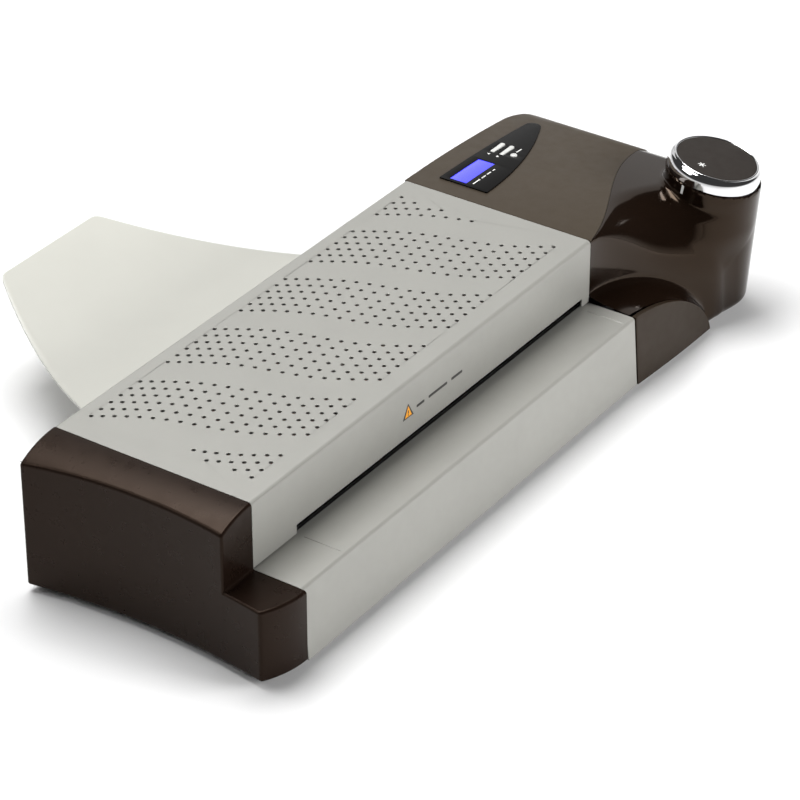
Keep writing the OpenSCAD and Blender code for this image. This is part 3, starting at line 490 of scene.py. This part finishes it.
def cap_solid(inset, reach):
    """The cap's outer or inner form, drawn on past the joint by reach."""
    back = BODY_D - inset
    front_x = [-CAP_W + inset + (CAP_W - inset) * i / 12 for i in range(13)]
    front_y = [0.5 + CAP_CROWN_R - cap_arc(x, inset) for x in front_x]
    ys = [front_y[0] + (back - front_y[0]) * i / 36 for i in range(1, 37)]
    # one flat column round the step's corner, so that its rounding stays in one plane
    ys = sorted([y for y in ys if not TABLE_D - 3 < y < TABLE_D + 4.5] + [TABLE_D + 2.0])
    plan = list(zip(front_x, front_y)) + [(reach, front_y[-1]), (reach, back)]
    plan += [(cap_end_x(y, inset), y) for y in reversed(ys)]
    crown_x = [-CAP_W - 2 + (CAP_W + 2) * i / 18 for i in range(19)]
    crown = [(x, BODY_H - CAP_CROWN_R + cap_arc(x, inset)) for x in crown_x]
    side = [(-CAP_W - 2, -20)] + crown + [(reach + 1, BODY_H - inset), (reach + 1, -20)]
    step = [(-9, -10), (BODY_D + 9, -10), (BODY_D + 9, 120), (TABLE_D + inset, 120),
            (TABLE_D + inset, TABLE_H - inset), (-9, TABLE_H - inset)]
    solid = prism("left_end_cap_shell", plan, "z", 0.0 if not inset else -5.0, 110)
    keep(solid, prism("tool", side, "y", -10, BODY_D + 10))
    return keep(solid, prism("tool", step, "x", -CAP_W - 5, reach + 2))


def left_cap(material):
    shell = cap_solid(0.0, 8.0)
    round_edges(shell, 2.0, 4, 35, clamp=False)
    cut(shell, block("tool", (-0.15, -20, -20), (40, 260, 140)))
    cut(shell, cap_solid(WALL + 0.3, 9.0))
    tidy_normals(shell)
    smooth(shell, 34)
    shell.modifiers.new("even_shading", "WEIGHTED_NORMAL").keep_sharp = True
    place_piece(shell, "machine", material, ["left_end_cap"])


# --------------------------------------------------------- right end housing

def crown_z(x, inset=0.0):
    """Height of the housing's crown at x."""
    return CROWN_ZC + math.sqrt((CROWN_R - inset) ** 2 - (x - BODY_L) ** 2)


def housing_elevation(inset, x0):
    """The housing seen from the front: the crown, then the shoulder at the right end."""
    angle = math.degrees(math.atan2(SHOULDER_Z - CROWN_ZC, SHOULDER_X - BODY_L))
    tangent_x = BODY_L + (CROWN_R - inset) * math.cos(math.radians(angle))
    xs = [x0 + (tangent_x - x0) * i / 40 for i in range(41)]
    crown = [(x, crown_z(x, inset)) for x in xs]
    shoulder = arc(SHOULDER_X, SHOULDER_Z, SHOULDER_R - inset, angle - 4, 0, 20)
    return [(x0, -6)] + crown + shoulder + [(RIGHT_X - inset, -6)]


def housing_plan(inset, x0):
    """The housing seen from above, from x0 to the right end."""
    corner = HOUSING_CORNER
    return ([(x0, -30), (RIGHT_X - inset, -30)]
            + arc(RIGHT_X - corner, BODY_D - corner, corner - inset, 0, 90, 12)
            + [(x0, BODY_D - inset)])


def seam_line(x):
    """The joint between housing and pod, seen from above."""
    t = np.clip((x - BODY_L) / SEAM_L, 0, 1)
    return TABLE_D + JOINT + SEAM_SWEEP * (0.35 * np.sin(np.pi * t / 2) + 0.325 * (1 - np.cos(np.pi * t)))


def seam_points(gap):
    xs = np.linspace(BODY_L - 12, RIGHT_X + 20, 60)
    return [(x, seam_line(x) + gap) for x in xs]


def pod_zone(gap):
    """Everything in front of the joint between housing and pod."""
    past = RIGHT_X + 40
    return seam_points(gap) + [(past, 100), (past, -60), (BODY_L - 12, -60)]


def beside_steel():
    """Everything left of the joint with the steel body, as a cutting tool."""
    return block("tool", (BODY_L - 30, -60, -20), (BODY_L + STEEL_GAP, 260, 140))


def key_holes(gap):
    tools = [block("tool", (KEY_X - 8 - gap, y - 1.8 - gap, 80), (KEY_X + 8 + gap, y + 1.8 + gap, 120))
             for y in (UPPER_KEY_Y, LOWER_KEY_Y)]
    tools.append(prism("tool", arc(BUTTON_X, BUTTON_Y, 2.6 + gap, 0, 350, 35), "z", 80, 120))
    return tools


def arch_top(x):
    """Height of the arched panel's top edge at x."""
    u = min(1.0, max(0.0, (x - BODY_L - JOINT) / ARCH_L))
    return TABLE_H * (1 - u * u) ** ARCH_POWER


def panel_front(x):
    """Foot of the arched panel, which bows forward a little along x."""
    return -0.5 - ARCH_BOW * math.sin(math.radians(90 * min(1.0, (x - BODY_L) / ARCH_BOW_L)))


def arch_outline(gap):
    us = [math.sin(math.radians(90 * i / 40)) for i in range(41)]
    top = [(BODY_L + JOINT + (ARCH_L + gap) * u, (TABLE_H + gap) * (1 - min(1, u * u)) ** ARCH_POWER)
           for u in us]
    return [(BODY_L + JOINT - gap - 2, -5)] + [(BODY_L + JOINT - gap - 2, TABLE_H + gap)] + top[1:] \
        + [(BODY_L + JOINT + ARCH_L + gap, -5)]


def right_housing(material):
    shell = prism("right_end_housing_shell", housing_elevation(0, BODY_L - 10), "y", -30, BODY_D + 12)
    keep(shell, prism("tool", housing_plan(0, BODY_L - 11), "z", 0.0, 130))
    round_edges(shell, 2.4, 5, 40)
    cut(shell, prism("tool", pod_zone(JOINT), "z", -20, 140))
    cut(shell, beside_steel())
    round_edges(shell, 0.45, 2, 55)
    cut(shell, block("tool", (LCD_X - 0.5, LCD_Y - 0.5, 80),
                     (LCD_X + LCD_L + 0.5, LCD_Y + LCD_W + 0.5, 120)))
    for tool in key_holes(0.5):
        cut(shell, tool)
    cut(shell, block("tool", (INLET_X - INLET_HALF_L, BODY_D - 10, INLET_Z - INLET_HALF_H),
                     (INLET_X + INLET_HALF_L, BODY_D + 9, INLET_Z + INLET_HALF_H)))
    for i in range(VENTS):
        x = VENT_X + i * VENT_GAP
        vent = arc(x, VENT_LOW, VENT_R, 180, 360, 8) + arc(x, VENT_HIGH, VENT_R, 0, 180, 8)
        cut(shell, prism("tool", vent, "y", BODY_D - 10, BODY_D + 9))
    inner = prism("tool", housing_elevation(WALL, BODY_L - 12), "y", -40, BODY_D + 12)
    keep(inner, prism("tool2", housing_plan(WALL, BODY_L - 13), "z", WALL, 130))
    cut(shell, inner)
    tidy_normals(shell)
    smooth(shell, 34)
    place_piece(shell, "machine", material, ["right_end_housing"])


def arch_panel(material):
    """The satin front panel below the pod, with its arched top edge."""
    columns, rows, thick = 64, 16, 3.6

    def place(i, j, side):
        u = math.sin(math.radians(90 * i / columns))
        x = BODY_L + STEEL_GAP + (ARCH_L - 0.15) * u
        z = max(0.6, arch_top(x)) * j / rows
        return x, panel_front(x) + z * FRONT_LEAN / TABLE_H + thick * side, z

    panel = thick_sheet("arched_front_panel", columns, rows, place)
    round_edges(panel, 0.7, 3, 50)
    smooth(panel, 40)
    place_piece(panel, "machine", material)


# ------------------------------------------------------------------------ pod

def smax(a, b, r):
    """Intersection of two fields with a round edge of radius r."""
    return (np.minimum(-r, np.maximum(a, b))
            + np.hypot(np.maximum(a + r, 0), np.maximum(b + r, 0)))


def smin(a, b, r):
    """Union of two fields with a fillet of radius r."""
    return -smax(-a, -b, r)


def round_over(front, top, deep, high):
    """Intersection of two fields whose edge is a quarter ellipse, deep by high."""
    p, q = front / deep, top / high
    edge = np.minimum(-1, np.maximum(p, q)) + np.hypot(np.maximum(p + 1, 0), np.maximum(q + 1, 0))
    return edge * np.minimum(deep, high)


def dial_axes():
    a, b = math.radians(DIAL_LEAN_FRONT), math.radians(DIAL_LEAN_SIDE)
    return Matrix.Rotation(b, 3, "Y") @ Matrix.Rotation(a, 3, "X")


def tower_radius(z):
    low = TOWER_FOOT_R + 0.6
    return low + (TOWER_TOP_R - low) * np.clip((z - 6) / 89, -0.1, 1)


def ramp(t):
    """A smooth rise from 0 at t = 0 to 1 at t = 1."""
    t = np.clip(t, 0, 1)
    return t * t * (3 - 2 * t)


def behind_tower(x):
    """0 left of the tower's axis, 1 at the right end of the machine."""
    return ramp((x - (TOWER_X - 3)) / 29)


def pod_wall_y(x):
    """The upright wall of the pod, from the cover's front out to the tower's."""
    t = np.clip((x - BODY_L) / POD_SWEEP_L, 0, 1.3)
    clear = TABLE_D + JOINT - POD_SWEEP * t ** POD_SWEEP_POWER - POD_FOOT_Y
    return POD_FOOT_Y + 0.5 * (clear + np.hypot(clear, 5.0))


def pod_front_y(x, z):
    """Front of the pod: a lip along the arched panel, a shelf, then the wall."""
    t = np.clip((x - BODY_L) / POD_SWEEP_L, 0, 1)
    wall = pod_wall_y(x)
    u = np.clip((x - BODY_L - JOINT) / ARCH_L, 0, 1)
    lip_z = TABLE_H * (1 - u * u) ** ARCH_POWER
    bow = np.sin(np.radians(90 * np.minimum(1, (x - BODY_L) / ARCH_BOW_L)))
    lip_y = np.minimum(0.5 - ARCH_BOW * bow + lip_z * FRONT_LEAN / TABLE_H, wall - 0.2)
    cove = 10 + 10 * t
    fall = (1 - np.clip((z - lip_z) / cove, 0, 1)) ** (4 - 2 * t)
    front = wall - (wall - lip_y) * fall
    return front + (TOWER_Y - 4 - front) * behind_tower(x)


def dial_seat(x, y, z):
    """Height over the tilted plane that the dial turns on."""
    n = dial_axes() @ Vector((0, 0, 1))
    return (x - DIAL_X) * n.x + (y - DIAL_Y) * n.y + (z - DIAL_Z) * n.z


def pod_base(x, y, z):
    """The pod without its tower: a front and a crown with a wide round edge between them."""
    front = (pod_front_y(x, z) - y) * 0.85
    crown = np.hypot(x - BODY_L, z - CROWN_ZC) - CROWN_R
    top = smax(crown, x - RIGHT_X, SHOULDER_R)
    room = np.maximum(1.5, seam_line(x) - pod_wall_y(x) - 0.5)
    deep = room / (1 + (room / POD_ROUND) ** 4) ** 0.25 * (1 - 0.55 * behind_tower(x))
    base = round_over(front, top, deep, POD_ROUND_RATIO * deep)
    base = np.maximum(base, y - 130)
    return np.maximum(base, BODY_L - 8 - x)


def pod_field(x, y, z):
    """The whole pod: the base, the tower cut off under the dial, and a fillet between them."""
    above = dial_seat(x, y, z)
    tower = smax(np.hypot(x - TOWER_X, y - TOWER_Y) - tower_radius(z), above, 0.8)
    fillet = 4 + 12 * ramp((z - 45) / 25) * (1 - ramp((z - 82) / 16))
    whole = smin(pod_base(x, y, z), tower, fillet)
    whole = np.maximum(np.maximum(whole, above), x - RIGHT_X - 0.8)
    return smax(whole, 0.5 - z, 7)


def pod(material):
    low, high = (BODY_L - 12, -18, -4), (RIGHT_X + 17, 134, 118)
    piece = surface_net("pod_cover_shell", pod_field, low, high, NET_STEP)
    hollow = surface_net("hollow", lambda x, y, z: pod_field(x, y, z) + WALL, low, high,
                         HOLLOW_STEP)
    behind = seam_points(-0.05) + [(RIGHT_X + 20, 200), (BODY_L - 12, 200)]
    cut(piece, prism("tool", behind, "z", -20, 140))
    cut(piece, beside_steel())
    cut(piece, prism("tool", arch_outline(0.35), "y", -60, 40))
    cut(piece, on_dial(prism("tool", arc(0, 0, SPINDLE_BORE_R, 0, 352.5, 47), "z", -12, 10)))
    cut(piece, hollow)
    tidy_normals(piece)
    smooth(piece, 38)
    place_piece(piece, "machine", material, ["pod_cover"])
    return piece


def painted_glint_line(surface_piece, material):
    """A short white line on the tower below the dial, laid on the pod's surface: a painted highlight,
    standing for a glint of light on the pod.
    """
    axes, centre = dial_axes(), at(DIAL_X, DIAL_Y, DIAL_Z)
    rows, half_width, start_r = 8, 1.0, 60
    depths = (0.22, -0.4)
    angle = math.radians(PAINTED_GLINT_ANGLE)
    out = Vector((math.cos(angle), math.sin(angle), 0))
    across = Vector((-math.sin(angle), math.cos(angle), 0))

    def place(i, j, side):
        height = Vector((0, 0, -1.2 - 7.0 * i / rows))
        start = centre + axes @ (out * start_r + across * (2 * j - 1) * half_width + height) * MM
        hit, where, _, _ = surface_piece.ray_cast(start, axes @ -out)
        return ((where if hit else start) + axes @ out * depths[side] * MM - ORIGIN) / MM

    line = thick_sheet("painted_glint_line", rows, 1, place)
    place_piece(line, "machine", material, ["index_mark"])


# ----------------------------------------------------------------------- dial

def on_dial(obj):
    """Moves a mesh made round the z axis, in millimetres, onto the dial's spindle."""
    centre = at(DIAL_X, DIAL_Y, DIAL_Z)
    turn = dial_axes()
    for v in obj.data.vertices:
        v.co = centre + turn @ (v.co - ORIGIN)
    obj.data.update()
    return obj


def lathe(name, profile, segments=160):
    """A turned form round the z axis from points (radius, height)."""
    n = len(profile)
    vertices = [(r * math.cos(2 * math.pi * i / segments), r * math.sin(2 * math.pi * i / segments), z)
                for i in range(segments) for r, z in profile]
    faces = []
    for i in range(segments):
        k = (i + 1) % segments
        for j in range(n):
            m = (j + 1) % n
            faces.append((i * n + j, k * n + j, k * n + m, i * n + m))
    return new_object(name, vertices, faces)


def dial(m):
    top = TOWER_TOP_R
    skirt = [(top - 3.2, 0.5), (top - 0.9, 0.5)] + arc(top - 1.0, 1.0, 0.5, -60, 5, 4)
    slope = [(top - 4.1 + 3.6 * math.cos(math.radians(a)), 3.6 + 7.3 * math.sin(math.radians(a)))
             for a in range(0, 75, 5)]
    rim = arc(DIAL_R + 0.9, RING_H - 0.8, 0.8, 8, 172, 14)
    inner = [(DIAL_R + 0.1, RING_H - 1.6), (DIAL_R + 0.1, RING_H - 7), (top - 3.4, RING_H - 8.5)]
    ring = on_dial(lathe("dial_ring_turned", skirt + slope + rim + inner))
    smooth(ring, 40)
    place_piece(ring, "dial", m["dial_chrome"], ["dial_ring"])
    dome = [(DIAL_R * (1 - i / 24) - 0.6, RING_H - 0.4 + 0.25 * (1 - (1 - i / 24) ** 2))
            for i in range(1, 24)]
    edge = arc(DIAL_R - 0.6, RING_H - 0.95, 0.55, 0, 90, 6)
    profile = [(0.01, RING_H - 3), (DIAL_R - 0.05, RING_H - 3)] + edge + dome + [(0.01, RING_H - 0.15)]
    disc = on_dial(lathe("dial_insert_domed", profile))
    smooth(disc, 40)
    place_piece(disc, "dial", m["dial_face"], ["dial_insert"])


# -------------------------------------------------------------- control panel

def leaf():
    """The control panel's outline: straight behind, sweeping back to a round tip in front."""
    n = 40
    front = [(PANEL_X + PANEL_L * i / n, PANEL_Y + PANEL_RISE * (i / n) ** 2)
             for i in range(n + 1)]
    end = arc(PANEL_X + PANEL_L - 2.6, PANEL_Y + PANEL_W - PANEL_TIP - 0.2, PANEL_TIP,
              -58, 88, 12)
    return front + end + [(PANEL_X, PANEL_Y + PANEL_W)]


def crown_strip(low, high):
    """A band along the crown, from low to high above it, seen from the front."""
    xs = [BODY_L + 2 + (HOUSING_W - 14) * i / 40 for i in range(41)]
    return [(x, crown_z(x, -high)) for x in xs] + [(x, crown_z(x, -low)) for x in reversed(xs)]


def panel(m):
    plate = prism("control_panel_plate", leaf(), "z", 60, 130)
    keep(plate, prism("tool", crown_strip(0.02, 1.0), "y", 60, BODY_D + 20))
    cut(plate, block("tool", (LCD_X, LCD_Y, 80), (LCD_X + LCD_L, LCD_Y + LCD_W, 120)))
    for tool in key_holes(0.35):
        cut(plate, tool)
    round_edges(plate, 0.3, 3, 50)
    smooth(plate, 40)
    place_piece(plate, "machine", m["panel_plastic"], ["control_panel"])
    window = prism("lcd_window_pane", crown_strip(-1.5, 0.7), "y", LCD_Y + 0.1, LCD_Y + LCD_W - 0.1)
    keep(window, block("tool", (LCD_X + 0.1, 0, 80), (LCD_X + LCD_L - 0.1, 300, 120)))
    round_edges(window, 0.25, 2, 50)
    smooth(window, 40)
    place_piece(window, "machine", m["display"], ["lcd_window"])


def key(name, outline, low, top, body, node, m):
    """A key cap: its sides rise straight, then roll over into a slightly domed top."""
    crown = 0.05
    levels = [(0.0, low), (0.0, top - 0.9), (0.12, top - 0.55), (0.4, top - 0.22),
              (0.85, top - 0.05), (1.3, top)]
    cx = sum(p[0] for p in outline) / len(outline)
    cy = sum(p[1] for p in outline) / len(outline)
    n = len(outline)
    vertices = []
    for inset, z in levels:
        for x, y in outline:
            sx = max(0.0, abs(x - cx) - inset) * (1 if x > cx else -1)
            sy = max(0.0, abs(y - cy) - inset) * (1 if y > cy else -1)
            vertices.append((cx + sx, cy + sy, z + (crown * (inset > 0.8))))
    faces = [tuple(range(n - 1, -1, -1))]
    for k in range(len(levels) - 1):
        faces += [(k * n + i, k * n + (i + 1) % n, (k + 1) * n + (i + 1) % n, (k + 1) * n + i)
                  for i in range(n)]
    faces.append(tuple(range((len(levels) - 1) * n, len(levels) * n)))
    cap = new_object(name, vertices, faces)
    smooth(cap, 50)
    place_piece(cap, body, m["key_plastic"], [node])


def rounded_bar(cx, cy, l, w, r):
    out = []
    for sx, sy, a in ((1, -1, -90), (1, 1, 0), (-1, 1, 90), (-1, -1, 180)):
        out += arc(cx + sx * (l / 2 - r), cy + sy * (w / 2 - r), r, a, a + 90, 6)
    return out


def keys(m):
    low = (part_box("upper_key")[0][2] - ORIGIN.z) / MM
    top = (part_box("upper_key")[1][2] - ORIGIN.z) / MM
    for name, y in (("upper", UPPER_KEY_Y), ("lower", LOWER_KEY_Y)):
        key(name + "_key_cap", rounded_bar(KEY_X, y, 16, 3.6, 0.9), low, top - 0.05,
            name + "_key_body", name + "_key", m)
    top = (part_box("mode_button")[1][2] - ORIGIN.z) / MM
    key("mode_button_cap", arc(BUTTON_X, BUTTON_Y, 2.6, 0, 350, 35), low, top - 0.05,
        "mode_button_body", "mode_button", m)


# --------------------------------------------------------------- printed marks

def panel_marks(m):
    """Plain pictograms in place of lettering: a rule of dashes, two arrows and a stroke."""
    def ink(outline):
        mark = prism("mark", outline, "z", 60, 130)
        return keep(mark, prism("tool", crown_strip(1.0, 1.12), "y", 60, BODY_D + 20))

    marks, x = [], LCD_X + 2
    for length in (9.0, 5.0, 5.0, 3.0):
        marks.append(ink(rounded_bar(x + length / 2, LCD_Y - 4.7, length, 1.0, 0.3)))
        x += length + 2.2
    for y, sign in ((UPPER_KEY_Y, 1), (LOWER_KEY_Y, -1)):
        x = KEY_X - 12.4
        corners = [(x - 1.3, y - 1.0 * sign), (x + 1.3, y - 1.0 * sign), (x, y + 1.2 * sign)]
        marks.append(ink(corners[::sign]))
    marks.append(ink(rounded_bar(BUTTON_X + 9.0, BUTTON_Y + 1.2, 7.0, 0.9, 0.3)))
    place_piece(join("panel_pictograms", marks), "machine", m["mark_white"])


def dial_mark(m):
    """A plain six-armed frost mark near the rim of the dial, over the painted highlight line."""
    angle, reach = math.radians(PAINTED_GLINT_ANGLE), 18.0
    cx, cy = reach * math.cos(angle), reach * math.sin(angle)
    outline = []
    for k in range(6):
        turn = math.radians(PAINTED_GLINT_ANGLE + 60 * k)
        along, across = (math.cos(turn), math.sin(turn)), (-math.sin(turn), math.cos(turn))
        outline += [(cx + along[0] * a + across[0] * b, cy + along[1] * a + across[1] * b)
                    for a, b in ((0.75, -0.35), (2.8, -0.35), (3.1, 0.0), (2.8, 0.35), (0.75, 0.35))]
    mark = on_dial(prism("frost_mark", outline, "z", RING_H - 0.5, RING_H - 0.14))
    place_piece(mark, "dial", m["mark_white"])


def caution_marks(m):
    """An amber triangle with a dark rim and a plain dark rule on the cover's front."""
    low, high = (Vector(c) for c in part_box("caution_mark"))
    low, high = (low - ORIGIN) / MM, (high - ORIGIN) / MM
    y, z0, size = high.y, low.z, high.z - low.z
    cx = low.x + size * 0.58

    def flat(outline, depth):
        return prism("mark", outline, "y", y - depth, y - 0.02)

    def triangle(shrink):
        h, w = size - 2.6 * shrink, size * 1.15 - 4.4 * shrink
        return [(cx - w / 2, z0 + 0.9 * shrink), (cx + w / 2, z0 + 0.9 * shrink),
                (cx, z0 + 0.9 * shrink + h)]

    def dark(name, pieces, nodes=()):
        place_piece(join(name, pieces), "machine", m["mark_dark"], nodes)

    dark("caution_rim", [flat(triangle(0), 0.10)], ["caution_mark"])
    place_piece(join("caution_field", [flat(triangle(1), 0.16)]), "machine",
                m["mark_amber"])
    dark("caution_sign", [flat([(cx - 0.45, z0 + 3.2), (cx + 0.45, z0 + 3.2), (cx + 0.6, z0 + 5.6),
                                (cx - 0.6, z0 + 5.6)], 0.2),
                          flat(arc(cx, z0 + 2.1, 0.5, 0, 340, 17), 0.2)])
    widths = (9, 22, 13)
    x = low.x + size * 1.5
    gap = (high.x - x - sum(widths)) / (len(widths) - 1)
    rules = []
    for w in widths:
        rules.append(flat(rounded_bar(x + w / 2, z0 + 3.7, w, 2.0, 0.6), 0.12))
        x += w + gap
    dark("caution_rules", rules)


# ------------------------------------------------------------------ exit tray

def tray_z(t):
    """Height of the tray at t, which is 0 at the body and 1 at the far end."""
    return TRAY_NEAR_Z + (TRAY_FAR_Z - TRAY_NEAR_Z) * (max(0.0, t - 0.33) / 0.67) ** 2


def tray_w(t):
    """Half width of the tray at t."""
    return TRAY_NEAR_W + (TRAY_FAR_W - TRAY_NEAR_W) * (0.6 * t + 0.4 * t * t)


def tray(material):
    """A thin sheet, flat where it leaves the body and curling up towards its end."""
    rows, columns, corner = 60, 40, 4.0
    tab_x, tab_half_w = 90, 13

    def place(i, j, side):
        t = 1 - (1 - i / rows) ** 1.35
        y = TRAY_Y0 + (TRAY_Y1 - TRAY_Y0) * t
        past = max(0.0, y - (TRAY_Y1 - corner))
        w = tray_w(t) - 1.15 * (corner - math.sqrt(max(0.0, corner ** 2 - past ** 2)))
        return TRAY_X + w * (2 * j / columns - 1), y, tray_z(t) + TRAY_T * (1 - side)

    sheet = thick_sheet("exit_tray_sheet", rows, columns, place)
    for s in (-1, 1):
        x = TRAY_X + s * tab_x
        tab = block("tool", (x - tab_half_w, BODY_D - 5.5, TRAY_NEAR_Z - 0.4),
                    (x + tab_half_w, TRAY_Y0 + 3, TRAY_NEAR_Z + 1.2))
        combine(sheet, tab, "UNION")
    round_edges(sheet, 0.5, 2, 50)
    smooth(sheet, 40)
    place_piece(sheet, "tray", material, ["exit_tray"])


# ------------------------------------------------------------------- CAD nodes

EDGED = {"top_cover": 0.25, "feed_table": 0.3, "base_pan": 0.25, "rubber_feet": 0.6,
         "power_inlet": 0.5, "cover_screws": 0.3, "foot_screws": 0.3}


def dress_cad(m):
    """Every CAD node that stays gets its finish, and what shows gets softened edges."""
    slots = {row["node"]: row["material_slot"] for row in frame["record"]["subparts"]}
    for node, obj in frame["nodes"].items():
        material = m[slots[node]]
        obj.data.materials.clear()
        obj.data.materials.append(material)
        if node in EDGED:
            weld = obj.modifiers.new("weld", "WELD")
            weld.merge_threshold = 1e-6
            bevel = obj.modifiers.new("bevel", "BEVEL")
            bevel.limit_method, bevel.angle_limit = "ANGLE", math.radians(40)
            bevel.width, bevel.segments = EDGED[node] * MM, 2


# ---------------------------------------------------------------------- stage

def studio_world():
    """White walls near the horizon, fading to a dark ceiling."""
    world = bpy.data.worlds.new("studio")
    world.use_nodes = True
    tree = world.node_tree
    direction = tree.nodes.new("ShaderNodeTexCoord").outputs["Generated"]
    height = node_of(tree, "ShaderNodeSeparateXYZ", Vector=direction).outputs["Z"]
    fade = node_of(tree, "ShaderNodeMapRange", Value=height)
    fade.inputs["From Min"].default_value = 0.0
    fade.inputs["From Max"].default_value = 0.15
    fade.inputs["To Min"].default_value = 0.95
    fade.inputs["To Max"].default_value = 0.04
    tree.links.new(fade.outputs[0], tree.nodes["Background"].inputs["Strength"])
    tree.nodes["Background"].inputs["Color"].default_value = (1, 1, 1, 1)
    return world


def stage(m):
    floor = new_object("studio_floor", [(-4000, -4000, -5.02), (4600, -4000, -5.02),
                                        (4600, 4600, -5.02), (-4000, 4600, -5.02)], [(0, 1, 2, 3)])
    white = surface("floor_white", (0.84, 0.84, 0.84), 0.7, tone=0.01, tone_scale=1.5)
    floor.data.materials.append(white)
    bpy.context.scene.world = studio_world()

    def softbox(name, place, size, energy, aim=(0.0, -0.08, 0.05), glint=True):
        data = bpy.data.lights.new(name, "AREA")
        data.shape, data.size, data.size_y = "RECTANGLE", size[0], size[1]
        data.energy = energy
        lamp = bpy.data.objects.new(name, data)
        lamp.location = place
        lamp.rotation_euler = (Vector(aim) - Vector(place)).to_track_quat("-Z", "Y").to_euler()
        lamp.visible_glossy = glint
        bpy.context.scene.collection.objects.link(lamp)

    softbox("top_box", (0.12, 0.55, 2.2), (1.6, 1.3), 61)
    softbox("back_box", (2.2, 1.7, 1.45), (3.0, 2.0), 13)
    softbox("left_box", (-1.5, 1.3, 1.8), (1.3, 0.8), 12)
    softbox("front_box", (1.0, -2.4, 0.95), (1.5, 1.0), 67, glint=False)
    bpy.context.scene.view_settings.view_transform = "Standard"


set_camera()
materials = make_materials()
dress_cad(materials)
left_cap(materials["cap_plastic"])
right_housing(materials["housing_plastic"])
# the arched panel takes the housing plastic darkened with painted shade
arch_panel(materials["housing_plastic_painted_shade"])
# the white line on the pod below the dial is a painted highlight
painted_glint_line(pod(materials["pod_plastic"]), materials["mark_white"])
dial(materials)
panel(materials)
keys(materials)
panel_marks(materials)
dial_mark(materials)
caution_marks(materials)
tray(materials["tray_plastic"])
stage(materials)
